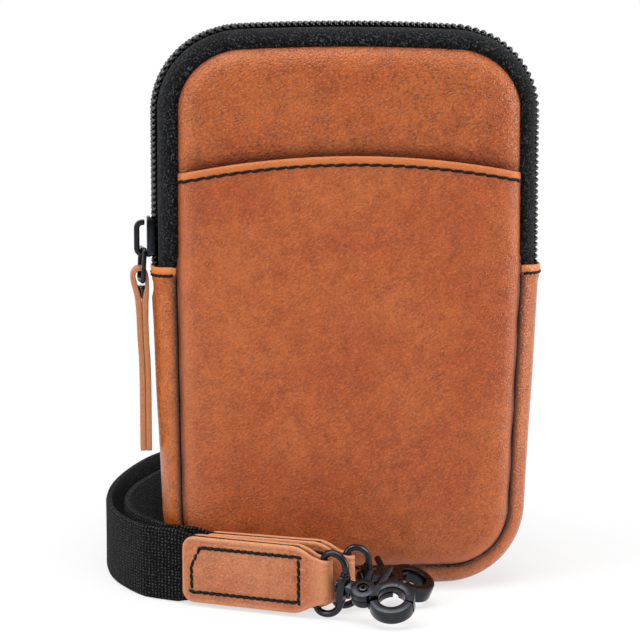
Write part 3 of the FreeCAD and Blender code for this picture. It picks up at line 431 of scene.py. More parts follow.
OUTER_TAB, OUTER_YAW = (-53.2, -24.6), radians(29.5)
INNER_TAB, INNER_YAW = (-47.2, -21.2), radians(25.5)
TAB_HELD, TAB_LEAD, WEB_MIDDLE = 39.3, 11.0, 11.5


def on_tab(spot, yaw, way):
    """A place on the floor plan, that way along a tab."""
    return (spot[0] + cos(yaw) * way, spot[1] - sin(yaw) * way)


strap_route = [on_tab(OUTER_TAB, OUTER_YAW, TAB_HELD), on_tab(OUTER_TAB, OUTER_YAW, -TAB_LEAD)]
strap_route += [
    (-68.9, -9.4), (-75.6, 9.6), (-77.4, 33.0), (-75.2, 60.0), (-69.0, 88.0),
    (-60.5, 114.0), (-45.0, 138.0), (-16.0, 153.0), (17.0, 153.0), (44.0, 137.0), (57.0, 110.0),
    (56.0, 80.0), (41.0, 56.0), (15.0, 42.5), (-13.0, 42.5), (-35.0, 57.0), (-42.0, 82.0), (-30.0, 104.0),
    (-7.0, 113.0), (15.0, 107.0), (24.0, 93.0), (18.0, 81.0), (5.0, 77.5), (-8.5, 79.5), (-20.0, 76.5),
    (-26.0, 67.0), (-22.5, 57.0), (-11.0, 53.0), (7.0, 55.0), (27.0, 66.5), (40.0, 86.0), (40.0, 110.0), (28.0, 130.0),
    (4.0, 139.0), (-22.0, 135.5), (-41.0, 118.0), (-52.5, 95.0),
    (-62.0, 73.0), (-69.0, 50.0), (-71.4, 27.0), (-69.2, 8.0), (-62.2, -7.0),
]
strap_route += [on_tab(INNER_TAB, INNER_YAW, -TAB_LEAD), on_tab(INNER_TAB, INNER_YAW, TAB_HELD)]


def bare_curve(name, kind, points):
    """A curve with one spline through points in millimetres: the piece that holds it, and the spline."""
    curve = bpy.data.curves.new(name, "CURVE")
    curve.dimensions = "3D"
    spline = curve.splines.new(kind)
    spline.points.add(len(points) - 1)
    for spot, place in zip(spline.points, points):
        spot.co = (*(c * MM for c in place), 1.0)
    piece = bpy.data.objects.new(name, curve)
    bpy.context.collection.objects.link(piece)
    return piece, spline


def smooth_line(route, height):
    """The smooth line through a route's control points, in millimetres."""
    holder, spline = bare_curve("strap_line", "NURBS", [(x, y, height) for x, y in route])
    spline.order_u = 3
    spline.use_endpoint_u = True
    spline.resolution_u = 24
    bpy.context.view_layer.update()
    line = bpy.data.meshes.new_from_object(holder)
    points = np.array([v.co[:] for v in line.vertices]) / MM
    curve = holder.data
    bpy.data.meshes.remove(line)
    bpy.data.objects.remove(holder)
    bpy.data.curves.remove(curve)
    return points


strap_line = smooth_line(strap_route, WEB_MIDDLE)
line_way = run_along(strap_line)
strap_length = float(line_way[-1])
strap_way = np.linspace(0.0, strap_length, int(strap_length) + 1)
strap_spots = sample(strap_way, line_way, strap_line)


def make_webbing():
    """Webbing on edge: 23 by 2.2 mm with rounded, uneven selvedges, and pressed lower where the tabs hold it."""
    heading = headings(strap_spots)
    across = np.stack([-heading[:, 1], heading[:, 0], 0 * heading[:, 0]], axis=1)
    levels = [-11.5, -11.2, -10.4, -8.5, -6.0, -3.0, 0.0, 3.0, 6.0, 8.5, 10.4, 11.2, 11.5]
    halves = [0.35, 0.85, 1.1] + [1.05] * 7 + [1.1, 0.85, 0.35]
    section = list(zip(halves, levels))
    section += [(-half, level) for half, level in reversed(section)]
    wide = len(section)
    rows = []
    for way, spot, aside in zip(strap_way, strap_spots, across):
        row = []
        end = min(way, strap_length - way)
        held = float(np.interp(end, [TAB_HELD - 3.0, TAB_HELD + 3.0], [0.89, 1.0]))
        for half, level in section:
            fray = 0.10 * noise.noise(Vector((way * 0.9, level * 0.4, 3.0)))
            row.append(spot + aside * (half + copysign(fray, half)) + np.array((0, 0, level * held)))
        rows.append(row)
    piece = put("strap_webbing", *net(rows, around=True, capped=True), WEBBING)
    weave = piece.data.uv_layers.new(name="weave")
    for face in piece.data.polygons:
        for loop, corner in zip(face.loop_indices, face.vertices):
            i, j = divmod(corner, wide)
            weave.data[loop].uv = (strap_way[i] * MM, section[j][1] * MM)
    tidy_normals(piece)
    return settle(piece, "strap", "webbing", "strap_outer_run", "strap_coil", "strap_inner_run")


webbing = make_webbing()


# ---- pouch: seam line and panels

SEAM_HALF, FOOT_LEFT, FOOT_RIGHT, SEAM_TOP, SEAM_FOOT, FOLD = 54.8, 53.2, 50.8, 174.7, 7.8, 104.6
TOP_ROUND, FOOT_ROUND, SEAM_DEPTH = 20.0, 19.0, 13.0
foot_corners = [
    (-SEAM_HALF, FOLD), (-FOOT_LEFT, SEAM_FOOT, FOOT_ROUND), (FOOT_RIGHT, SEAM_FOOT, FOOT_ROUND), (SEAM_HALF, FOLD)]
top_corners = [
    (SEAM_HALF, FOLD), (SEAM_HALF, SEAM_TOP, TOP_ROUND), (-SEAM_HALF, SEAM_TOP, TOP_ROUND), (-SEAM_HALF, FOLD)]
foot_seam = np.array(round_path(foot_corners, 0.8)[0])
top_seam = np.array(round_path(top_corners, 0.8)[0])
seam_line = np.concatenate([foot_seam, top_seam])


def seam_at(z):
    """The seam line's left and right places at a height; worn in, the pouch's foot leans to the left."""
    ends = []
    for side in (-1, 1):
        half = seam_line[seam_line[:, 0] * side > 0]
        half = half[np.argsort(half[:, 1])]
        ends.append(float(np.interp(z, half[:, 1], half[:, 0])))
    return ends


def across_row(z, count):
    """Places across the pouch at a height."""
    left, right = seam_at(z)
    return [(left + right) / 2 + (right - left) / 2 * share for share in shares(count)]


BOW_DROP, BOW_HALF, BOW_FROM, BOW_RUN = 1.3, 42.0, 140.0, 32.0


def bowed(x, z):
    """The zip's top run is slightly arched: its shoulders lie lower than its middle."""
    return z - BOW_DROP * min(1.0, (x / BOW_HALF) ** 2) * eased((z - BOW_FROM) / BOW_RUN)


def from_seam(x, z):
    """How far a point is from the seam line."""
    return float(np.sqrt(((seam_line - np.array((x, z))) ** 2).sum(axis=1).min()))


CROWN_AT = [0.0, 0.3, 0.7, 1.2, 2.0, 3.0, 4.5, 7.0, 10.0, 14.0, 20.0, 30.0, 52.0]
CROWN = [0.0, 0.6, 1.2, 1.8, 2.55, 3.2, 3.85, 4.4, 4.7, 4.95, 5.1, 5.2, 5.3]


def crown(inset):
    """A panel's lift at a distance from the seam."""
    return float(np.interp(inset, CROWN_AT, CROWN))


def panel_heights():
    """Row heights that sample the corners evenly."""
    low = [SEAM_FOOT + FOOT_ROUND * (1 - sin(radians(a))) for a in np.linspace(89.9, 4, 18)]
    high = [SEAM_TOP - TOP_ROUND * (1 - sin(radians(a))) for a in np.linspace(4, 89.9, 15)]
    middle = list(np.linspace(low[-1] + 1.5, high[0] - 1.5, 84))
    return low + middle + high


def shares(count):
    """Places across a row, closer together towards the seams."""
    spread = np.linspace(-1.0, 1.0, count)
    return np.sign(spread) * (1 - (1 - np.abs(spread)) ** 1.6)


POCKET_TOP, POCKET_LAYER, POCKET_SEWN, ARCH_RISE = 140.0, 1.4, 2.75, 5.6
ARCH_RADIUS = (SEAM_HALF ** 2 + ARCH_RISE ** 2) / (2 * ARCH_RISE)
PANEL_SWELL, PANEL_WALL = 0.30, 1.2


def arch_drop(x):
    """How far the pocket's edge is below its middle at a place across."""
    return ARCH_RADIUS - sqrt(ARCH_RADIUS ** 2 - x ** 2)


def above_pocket(x, z):
    """How far a point is above the pocket's edge."""
    return z - (POCKET_TOP - arch_drop(x))


def mouth_dip(x, z):
    """The front panel bends inwards where it goes behind the pocket's edge."""
    return 1.5 * exp(-(max(0.0, above_pocket(x, z)) / 4.2) ** 2)


def seam_shade(inset):
    """The painted shade where the leather goes down into the seam."""
    return 0.95 * exp(-(inset / 1.2) ** 2)


def make_panel(name, side):
    """A domed leather panel; side is -1 at the front and 1 at the back."""
    rows, wear, sunk = [], [], []
    for z in panel_heights():
        row = []
        for x in across_row(z, 81):
            inset = from_seam(x, z)
            lift = crown(inset) + soft(x, 40.0 * side, z, 34.0, PANEL_SWELL) * min(1.0, inset / 12.0)
            shade = 0.0
            if side < 0:
                lift -= mouth_dip(x, z) * min(1.0, inset / 5.0)
                # Painted shadow above the pocket's edge, where the panel bends in behind it.
                shade = 0.8 * exp(-(max(0.0, above_pocket(x, z)) / 2.4) ** 2)
            row.append((x, side * (SEAM_DEPTH + lift), bowed(x, z)))
            # Paler 3.4 mm in from the seam, where the panel rolls over: worn leather with painted highlight.
            wear.append(0.25 * exp(-((inset - 3.4) / 2.0) ** 2))
            sunk.append(max(shade, seam_shade(inset)))
        rows.append(row)
    return thicken(put(name, *net(rows, flip=side > 0), PANEL_LEATHER, wear, sunk), PANEL_WALL, LINING)


front_skin = make_panel("front_skin", -1)
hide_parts("front_panel_lower", "front_panel_upper")
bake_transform(front_skin)

settle(make_panel("back_skin", 1), "pouch", "leather", "back_panel")


def pocket_depth(x, z, below):
    """The pocket leather's lift at a point, with its doubled and sewn edge."""
    inset = from_seam(x, z)
    lift = crown(inset) + POCKET_LAYER * min(1.0, inset / 1.5)
    lift += soft(x, -40.0, z, 30.0, 0.28) * min(1.0, inset / 12.0)
    hem = 0.45 / (1.0 + exp((below - 3.4) / 0.35))
    sewn = 0.34 * exp(-((below - POCKET_SEWN) / 0.45) ** 2)
    return lift + (hem - sewn) * min(1.0, inset / 3.0)


def make_pocket():
    """The pocket's leather, with its arched top edge turned over and down inside."""
    arch_from, arch_run, roll = 100.0, 30.0, 0.8
    heights = [z for z in panel_heights() if z < arch_from]
    heights += list(np.linspace(arch_from, 132.0, 24))[1:]
    belows = [7.0, 6.0, 5.2, 4.6, 4.1, 3.7, 3.4, 3.1, 2.9, 2.7, 2.5, 2.2, 1.8, 1.4, 1.0]
    rows, wear, sunk = [], [], []

    def line(z_at, below, back, worn):
        row = []
        for x in across_row(z_at, 97):
            z = z_at - arch_drop(x) * eased((z_at - arch_from) / arch_run)
            inset = from_seam(x, z)
            row.append((x, -(SEAM_DEPTH + pocket_depth(x, z, below) - back), z))
            # Paler 2.6 mm in from the seam and on the hem and its roll: worn leather with painted highlight.
            wear.append(worn + 0.2 * exp(-((inset - 2.6) / 1.6) ** 2))
            sunk.append(seam_shade(inset))
        rows.append(row)

    for z in heights:
        line(z, POCKET_TOP - z, 0.0, 0.0)
    for below in belows:
        line(POCKET_TOP - below, below, 0.0, 0.75 / (1.0 + exp((below - 2.4) / 0.2)))
    for angle in (25, 50, 75, 100, 125, 150, 180):
        turn = radians(angle)
        line(POCKET_TOP - roll * (1 - sin(turn)), 1.0, roll * (1 - cos(turn)), 0.8)
    for below in (2.0, 4.0, 7.0):
        line(POCKET_TOP - below, 1.0, 1.75, 0.0)
    return put("pocket_skin", *net(rows), POCKET_LEATHER, wear, sunk)


pocket_skin = make_pocket()
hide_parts("pocket_lower", "pocket_upper")
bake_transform(pocket_skin)


# ---- pouch: leather band round the foot

BAND_BULGE, BAND_WALL = 8.15, 0.9
HEM_DEPTH, HEM_SEWN = 4.2, 2.75
DENT_DEEP, DENT_AT, DENT_HIGH, DENT_WIDE = 1.5, 100.8, 4.8, 4.9


def band_lift(share):
    """The band's bulge out of the seam line; share runs from -1 at the front to 1 at the back."""
    return BAND_BULGE * max(0.0, 1 - abs(share) ** 2.3) ** (1 / 1.9)


def foot_taper(x, z):
    """The band bulges less to the sides towards its foot."""
    return float(np.interp(z, [27.0, FOLD], [0.755 if x < 0 else 0.89, 1.0]))


def hem_swell(end):
    """The doubled hem's extra height, with the sewn line pulled in, at a distance from the band's end."""
    doubled = 0.55 / (1.0 + exp((end - HEM_DEPTH) / 0.3))
    sewn = 0.36 * exp(-((end - HEM_SEWN) / 0.5) ** 2)
    return doubled - sewn


def hem_lip(share, end):
    """The hem's edge rises a little towards the ridge, and again at the seams."""
    return 0.5 * (1 - share ** 2 + share ** 6) * exp(-end / 9.0)


def pull_dent(x, y, z):
    """The hollow that the zip's pull has pressed into the left hem."""
    return DENT_DEEP * exp(-((z - DENT_AT) / DENT_HIGH) ** 4 - (y / DENT_WIDE) ** 8) if x < 0 else 0.0


def band_point(spot, normal, share, grow, end, sink=0.0):
    """A point of the band's outside; sink takes it inwards where the hem turns over."""
    lift = band_lift(share) + (grow - sink) * (1 - share ** 8)
    y = (SEAM_DEPTH + 0.35 * exp(-end / 4.0) - 1.2 * sink) * share
    x = spot[0] + normal[0] * lift * foot_taper(*spot)
    z = spot[1] + normal[1] * lift
    puff = soft(x, y, z, 26.0, 0.22) * (1 - share ** 2) - pull_dent(x, y, z)
    return (x + normal[0] * puff, y, max(z + normal[1] * puff + hem_lip(share, end), 0.02))


def make_band():
    """The band round the foot, with a hem turned over at both ends."""
    path, normals = round_path(foot_corners, 0.8)
    way = run_along(path)
    spread = bunched(41)
    rows, wear, sunk = [], [], []

    def line(spot, normal, grow, end, worn, sink=0.0):
        rows.append([band_point(spot, normal, share, grow, end, sink) for share in spread])
        wear.extend([worn] * len(spread))
        # Painted shade, darkest where the band goes down into the seams.
        sunk.extend([exp(-(band_lift(share) / 2.2) ** 2) for share in spread])

    # The hem turns inwards over its edge: distance below the edge, sink, and paleness (worn, with painted highlight on
    # the roll).
    rolls = [(0.15, 0.8, 0.9), (0.0, 0.5, 1.0), (0.1, 0.25, 1.0), (0.4, 0.05, 0.9)]
    top = hem_swell(0.0)
    for below, sink, worn in rolls:
        line(path[0] - np.array((0.0, below)), normals[0], top, below, worn, sink)
    for spot, normal, run in zip(path, normals, way):
        end = min(run, way[-1] - run)
        if end > 0.9 and (end < 9.0 or int(run / 0.8) % 2 == 0):
            # The hem's edge and roll are paler: worn leather with painted highlight.
            line(spot, normal, hem_swell(end), end, 0.8 / (1.0 + exp((end - 2.6) / 0.25)))
    for below, sink, worn in reversed(rolls):
        line(path[-1] - np.array((0.0, below)), normals[-1], top, below, worn, sink)
    return thicken(put("leather_band", *net(rows), BAND_LEATHER, wear, sunk), BAND_WALL, LINING)


settle(make_band(), "pouch", "leather", "gusset_band")


# ---- zip tape and coils

# The tape's outside, as lift out of the seam line and depth from the middle.
TAPE_SECTION = [
    (-0.6, 12.2), (-0.35, 13.3), (0.1, 13.9), (0.8, 14.05), (1.6, 13.7), (2.4, 13.0), (3.2, 11.95), (3.9, 10.6),
    (4.4, 9.1), (4.7, 7.6), (4.85, 6.2), (4.75, 5.1), (4.4, 4.3), (4.2, 3.6), (4.3, 2.8), (4.45, 1.8), (4.45, 0.35),
]
TAPE_END, TAPE_DIVE, TAPE_UNDER, TAPE_WALL, COIL_END = 102.6, 105.0, 12.7, 0.8, 105.0
COIL_PITCH, COIL_WIRE, COIL_LIFT, COIL_DEPTH, COIL_SIDES = 1.9, 0.55, 6.5, 1.75, 6


def zip_path(end, step):
    """The seam's run round the top, down to a height on both sides."""
    return round_path([(SEAM_HALF, end)] + top_corners[1:3] + [(-SEAM_HALF, end)], step)


def make_tape(name, side):
    """One brushed tape: it rises from the panel's seam, dips beside the coil, and dives under the hem at its ends."""
    rows = []
    for spot, normal in zip(*zip_path(TAPE_END, 1.2)):
        row = []
        for lift, depth in TAPE_SECTION:
            dive = TAPE_DIVE + 2.4 * clamp((depth - 9.0) / 4.0)
            free = eased((spot[1] - dive) / 1.6)
            puff = soft(spot[0], side * depth, spot[1], 15.0, 0.16) if lift > 0.5 else 0.0
            under = min(depth, TAPE_UNDER)
            tucked = min(lift, max(-0.6, band_lift(under / SEAM_DEPTH) - 1.6))
            out = (lift + puff) * free + tucked * (1 - free)
            x, z = spot[0] + normal[0] * out, spot[1] + normal[1] * out
            row.append((x, side * (depth * free + under * (1 - free)), bowed(x, z)))
        rows.append(row)
    return thicken(put(name, *net(rows, flip=side < 0), TAPE_CLOTH), TAPE_WALL, TAPE_CLOTH)


def make_coil(name, side, phase):
    """A nylon coil: one wire wound along the chain."""
    path, normals = zip_path(COIL_END, 0.5)
    way = run_along(path)
    at = np.arange(0.0, way[-1], COIL_PITCH / 14)
    middle, out = sample(at, way, path), sample(at, way, normals)
    turn = at / COIL_PITCH * 2 * pi + phase

    def wound(reach, sway):
        x = middle[:, 0] + out[:, 0] * reach
        z = middle[:, 1] + out[:, 1] * reach
        level = np.array([bowed(a, b) for a, b in zip(x, z)])
        return np.stack([x, 0 * at + side * sway, level], axis=1)

    line = wound(COIL_LIFT + 0.75 * np.cos(turn), COIL_DEPTH - 1.15 * np.sin(turn))
    heading = headings(line)
    spoke = line - wound(COIL_LIFT, COIL_DEPTH)
    spoke -= heading * (spoke * heading).sum(axis=1)[:, None]
    spoke /= np.linalg.norm(spoke, axis=1)[:, None]
    beside = np.cross(heading, spoke)
    angles = np.linspace(0, 2 * pi, COIL_SIDES, endpoint=False)
    rows = [
        [spot + (up * cos(a) + aside * sin(a)) * COIL_WIRE for a in angles]
        for spot, up, aside in zip(line, spoke, beside)
    ]
    return tidy_normals(put(name, *net(rows, around=True, capped=True), NYLON))


settle(make_tape("zip_tape_front_cloth", -1), "mouth", "zip_tape", "zip_tape_front")
settle(make_tape("zip_tape_back_cloth", 1), "pouch", "zip_tape", "zip_tape_back")
settle(make_coil("zip_coil_front_wound", -1, 0.0), "mouth", "zip_coil", "zip_coil_front")
settle(make_coil("zip_coil_back_wound", 1, pi), "pouch", "zip_coil", "zip_coil_back")


# ---- metal pieces

def ease_edges(piece, width):
    """Round every sharp edge of a piece over."""
    only(piece)
    bpy.ops.object.transform_apply()
    bpy.ops.object.mode_set(mode="EDIT")
    bpy.ops.mesh.select_mode(type="EDGE")
    bpy.ops.mesh.select_all(action="DESELECT")
    bpy.ops.mesh.edges_select_sharp(sharpness=radians(40))
    bpy.ops.mesh.bevel(offset=width * MM, segments=2, affect="EDGES")
    bpy.ops.object.mode_set(mode="OBJECT")
    return piece


def turned(radius, low, high, place=(0.0, 0.0), along="z", ease=0.3, sides=56):
    """A turned pin or disc between two heights along an axis."""
    (a, b), middle, quarter = place, (low + high) / 2, pi / 2
    spot, turn = {
        "x": ((middle, a, b), (0.0, quarter, 0.0)),
        "y": ((a, middle, b), (quarter, 0.0, 0.0)),
        "z": ((a, b, middle), (0.0, 0.0, 0.0)),
    }[along]
    bpy.ops.mesh.primitive_cylinder_add(
        vertices=sides, radius=radius * MM, depth=(high - low) * MM, location=[c * MM for c in spot], rotation=turn)
    piece = bpy.context.active_object
    return ease_edges(piece, ease) if ease else piece


def block(low, high, ease):
    """A block between two corners."""
    bpy.ops.mesh.primitive_cube_add(size=1.0, location=[(a + b) / 2 * MM for a, b in zip(low, high)])
    piece = bpy.context.active_object
    piece.scale = [(b - a) * MM for a, b in zip(low, high)]
    bpy.ops.object.transform_apply()
    return ease_edges(piece, ease) if ease else piece


def flat_section(place, turn, wide, high, corner, segments):
    """A flat section with eased corners, left selected in edit mode to be swept."""
    bpy.ops.mesh.primitive_plane_add(size=1.0, rotation=turn, location=[c * MM for c in place])
    piece = bpy.context.active_object
    piece.scale = (wide * MM, high * MM, 1.0)
    bpy.ops.object.transform_apply()
    bpy.ops.object.mode_set(mode="EDIT")
    bpy.ops.mesh.select_all(action="SELECT")
    bpy.ops.mesh.bevel(offset=corner * MM, segments=segments, affect="VERTICES")
    bpy.ops.mesh.select_all(action="SELECT")
    return piece


def claw_slice(start, end, low, high):
    """A slice of the claw's ring: its eased section, spun round the claw's middle."""
    middle = ((CLAW_OUTER + CLAW_INNER) / 2, 0.0, (low + high) / 2)
    piece = flat_section(middle, (pi / 2, 0.0, 0.0), CLAW_OUTER - CLAW_INNER, high - low, 0.42, 2)
    bpy.ops.mesh.spin(
        steps=max(6, int((end - start) / 5)), angle=radians(end - start),
        center=(0.0, 0.0, 0.0), axis=(0.0, 0.0, -1.0),
    )
    bpy.ops.object.mode_set(mode="OBJECT")
    tidy_normals(piece, 0.000001)
    piece.rotation_euler = (0.0, 0.0, radians(start))
    piece.location = (CLAW_REACH * MM, 0.0, 0.0)
    bpy.ops.object.transform_apply()
    return piece


def combine(name, first, *others, cut=False):
    """Join pieces into one closed form, or cut the others out of the first."""
    for other in others:
        step = first.modifiers.new("combine", "BOOLEAN")
        step.operation = "DIFFERENCE" if cut else "UNION"
        step.solver = "EXACT"
        step.object = other
        only(first)
        bpy.ops.object.modifier_apply(modifier="combine")
        bpy.data.objects.remove(other)
    first.name = name
    return first


def finish_metal(piece, place, body, *nodes):
    """Put a metal piece in its place and on its body, with crisp flats and smooth rounds."""
    piece.data.materials.clear()
    piece.data.materials.append(BLACK_METAL)
    piece.matrix_world = place
    only(piece)
    bpy.ops.object.transform_apply()
    bpy.ops.object.shade_smooth_by_angle(angle=radians(32))
    return settle(piece, body, "gunmetal", *nodes)


def wire_ring(name, corners, radius):
    """A bent wire through rounded corners in the local XZ plane, closed on itself."""
    piece, spline = bare_curve(name, "POLY", [(x, 0.0, z) for x, z in round_path(corners, 0.35)[0][:-1]])
    spline.use_cyclic_u = True
    piece.data.bevel_depth = radius * MM
    piece.data.bevel_resolution = 4
    only(piece)
    bpy.ops.object.convert(target="MESH")
    return bpy.context.active_object


TAB_END, NECK_HALF, TAB_HALF, LAYER = 50.5, 6.0, 10.5, 1.5
CLAW_REACH, CLAW_OUTER, CLAW_INNER, CLAW_HALF = 9.5, 7.0, 4.1, 2.45
HUB_ROUND, HUB_HALF, HUB_CLEAR, JAW_GAP = 3.8, 2.6, 0.2, 0.06
EYE_WIRE, EYE_HALF, EYE_CORNER = 1.1, 9.6, 2.6
BLOCK_LONG, BLOCK_DEEP, BLOCK_HIGH = 2.6, 4.4, 7.4
COLLAR_LONG, COLLAR_PLAY, HEAD_LONG, HEAD_PLAY = 1.45, 0.15, 0.8, 0.1
COLLAR = -HUB_ROUND - HUB_CLEAR - COLLAR_LONG
POST_END, POST_NECK = COLLAR - 3.65, COLLAR - 2.85
COLLAR_HALF, POST_ROUND, HEAD_ROUND, PIN_ROUND = 1.8, 1.2, 2.1, 1.0
SEAT_ROUND, RIVET_ROUND, RIVET_BORE, RIVET_HEAD = 1.95, 1.36, 0.66, 2.1
ARM_FROM, ARM_TO, ARM_EASE = 2.8, 5.4, 0.35


def make_eye(which, place, reach):
    """The swivel eye: a bent wire with ferrules, and the block that the hook turns in."""
    bow = (reach - EYE_CORNER) * 0.92
    corners = [
        (0.0, 0.0), (0.0, EYE_HALF, EYE_CORNER), (reach, EYE_HALF, bow), (reach, -EYE_HALF, bow),
        (0.0, -EYE_HALF, EYE_CORNER), (0.0, 0.0),
    ]
    wire = wire_ring(f"eye_wire_{which}", corners, EYE_WIRE)
    half = BLOCK_HIGH / 2
    body = block(
        (reach - BLOCK_LONG / 2, -BLOCK_DEEP / 2, -half), (reach + BLOCK_LONG / 2, BLOCK_DEEP / 2, half), 0.45)
    rim, rim_half = 0.35, 0.6
    rims = [
        turned(EYE_WIRE + rim, middle - rim_half, middle + rim_half, (reach, 0.0), ease=0.25)
        for middle in (-half - rim, half + rim)
    ]
    whole = combine(f"eye_wire_{which}", wire, body, *rims)
    return finish_metal(whole, place, f"eye_{which}", f"swivel_eye_{which}")


def make_hook(which, place):
    """The hook: a fixed jaw on a swivel post, a moving jaw with a thumb pin, and a hollow rivet."""
    low, high = JAW_GAP, CLAW_HALF
    hub = turned(HUB_ROUND, low, HUB_HALF, ease=0.4)
    hub = combine("hub", hub, turned(SEAT_ROUND, HUB_HALF - 0.7, HUB_HALF + 1.0, ease=0.0), cut=True)
    fixed = combine(
        f"hook_fixed_{which}", hub,
        block((ARM_FROM, -1.0, low), (ARM_TO, 3.4, high), ARM_EASE),
        claw_slice(86.0, 200.0, low, high),
        claw_slice(2.5, 88.0, -high, high),
        block((COLLAR, -COLLAR_HALF, low), (-2.6, COLLAR_HALF, high), ARM_EASE),
        block((COLLAR, -COLLAR_HALF, -high), (-HUB_ROUND - HUB_CLEAR, COLLAR_HALF, high), ARM_EASE),
        turned(POST_ROUND, POST_END, COLLAR + 0.7, along="x", ease=0.15),
        turned(HEAD_ROUND, POST_END, POST_NECK, along="x", ease=0.25),
    )
    moving = combine(
        f"hook_moving_{which}", turned(HUB_ROUND, -HUB_HALF, -low, ease=0.4),
        block((ARM_FROM, -3.4, -high), (ARM_TO, 1.0, -low), ARM_EASE),
        claw_slice(112.0, 222.0, -high, -low),
        claw_slice(220.0, 357.5, -high, high),
        turned(PIN_ROUND, 0.0, 13.6, (2.6, -1.03), along="y", ease=0.22, sides=24),
    )
    rivet = turned(RIVET_ROUND, -HUB_HALF - 0.4, HUB_HALF + 0.12, ease=0.3, sides=40)
    rivet = combine("rivet", rivet, turned(RIVET_HEAD, -HUB_HALF - 0.5, -HUB_HALF - 0.04, ease=0.18))
    bore = turned(RIVET_BORE, HUB_HALF - 1.2, HUB_HALF + 1.0, ease=0.0, sides=32)
    rivet = combine(f"rivet_{which}", rivet, bore, cut=True)
    return [
        finish_metal(fixed, place, f"hook_{which}", f"hook_{which}"),
        finish_metal(moving, place, f"jaw_{which}", f"hook_jaw_{which}"),
        finish_metal(rivet, place, f"hook_{which}", f"hook_rivet_{which}"),
    ]


strap_fittings = []
# Each hook's tab, its yaw, and the eye's swing, droop and the hook's roll.
HOOKS = (
    ("outer", OUTER_TAB, OUTER_YAW, 0.0, radians(10.0), radians(31.0)),
    ("inner", INNER_TAB, INNER_YAW, INNER_YAW + radians(17.0), radians(15.0), radians(14.0)),
)
for which, spot, yaw, swing, droop, roll in HOOKS:
    play = NECK_HALF * tan(droop) + EYE_WIRE / cos(droop) + 0.3
    reach = LAYER + play + LAYER + HEAD_LONG + HEAD_PLAY + BLOCK_LONG / 2
    hook_reach = reach + BLOCK_LONG / 2 + COLLAR_PLAY + COLLAR_LONG + HUB_CLEAR + HUB_ROUND
    bar = Matrix.Translation([c * MM for c in (*on_tab(spot, yaw, TAB_END - LAYER - play), WEB_MIDDLE)])
    eye_place = bar @ Matrix.Rotation(-yaw, 4, "Z") @ Matrix.Rotation(droop, 4, "Y") @ Matrix.Rotation(swing, 4, "Z")
    hook_place = eye_place @ Matrix.Translation((hook_reach * MM, 0.0, 0.0)) @ Matrix.Rotation(roll, 4, "X")
    strap_fittings += [make_eye(which, eye_place, reach)] + make_hook(which, hook_place)
    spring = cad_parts[f"hook_spring_{which}"].data
    spring.materials.clear()
    spring.materials.append(SPRING_METAL)


SLIDER_OUT, SLIDER_IN, SLIDER_FOOT = -SEAM_HALF - 8.05, -SEAM_HALF - 4.85, FOLD + 2.8
SLIDER_TOP, PLATE, PLATE_HALF = SLIDER_FOOT + 13.0, 1.1, 4.3
BRIDGE_BAR, BRIDGE_WIDE, BRIDGE_BEND, BRIDGE_END, BRIDGE_TOP = 1.8, 3.0, 1.8, 0.75, SLIDER_FOOT + 11.9


def slider_plate(face):
    """A slider plate with rounded corners."""
    plate = block((face - PLATE, -PLATE_HALF, SLIDER_FOOT), (face, PLATE_HALF, SLIDER_TOP), 0.0)
    bpy.ops.object.mode_set(mode="EDIT")
    bpy.ops.mesh.select_mode(type="EDGE")
    bpy.ops.mesh.select_all(action="DESELECT")
    bpy.ops.object.mode_set(mode="OBJECT")
    for edge in plate.data.edges:
        a, b = (plate.data.vertices[k].co for k in edge.vertices)
        edge.select = abs(a.x - b.x) > 0.5 * MM
    bpy.ops.object.mode_set(mode="EDIT")
    bpy.ops.mesh.bevel(offset=1.9 * MM, segments=5, affect="EDGES")
    bpy.ops.object.mode_set(mode="OBJECT")
    return ease_edges(plate, 0.24)


def make_bridge():
    """The bridge that holds the pull: an eased bar, bent up and round to a free end."""
    root = SLIDER_OUT - PLATE + 0.5
    bend_x = SLIDER_OUT - PLATE - 1.4
    low = SLIDER_FOOT + BRIDGE_BAR / 2
    bar = flat_section((root, 0.0, low), (0.0, pi / 2, 0.0), BRIDGE_BAR, BRIDGE_WIDE, 0.5, 3)
    bends = [(bend_x, low + BRIDGE_BEND), (bend_x, BRIDGE_TOP - BRIDGE_BAR / 2 - BRIDGE_BEND)]
    for (x, z), run in zip(bends, ((bend_x - root, 0.0, 0.0), (0.0, 0.0, bends[1][1] - bends[0][1]))):
        bpy.ops.mesh.extrude_region_move(TRANSFORM_OT_translate={"value": [c * MM for c in run]})
        bpy.ops.mesh.spin(steps=8, angle=pi / 2, center=(x * MM, 0.0, z * MM), axis=(0.0, -1.0, 0.0))
    bpy.ops.mesh.extrude_region_move(TRANSFORM_OT_translate={"value": (BRIDGE_END * MM, 0.0, 0.0)})
    bpy.ops.object.mode_set(mode="OBJECT")
    return ease_edges(tidy_normals(bar, 0.000001), 0.4)


def make_slider():
    """The slider: two plates on a web, flanges down the outer plate's sides, and the bridge."""
    web = block((SLIDER_OUT - PLATE / 2, -0.35, SLIDER_FOOT), (SLIDER_IN + PLATE / 2, 0.35, SLIDER_FOOT + 3.6), 0.1)
    flanges = [
        block((SLIDER_OUT - PLATE + 0.1, near, SLIDER_FOOT + 0.7), (SLIDER_OUT + 1.7, far, SLIDER_TOP - 0.7), 0.25)
        for near, far in ((-4.25, -3.5), (3.5, 4.25))
    ]
    plates = slider_plate(SLIDER_OUT), slider_plate(SLIDER_IN + PLATE)
    whole = combine("slider_body", plates[0], make_bridge(), web, plates[1], *flanges)
    return finish_metal(whole, Matrix.Identity(4), "slider", "zip_slider")


make_slider()


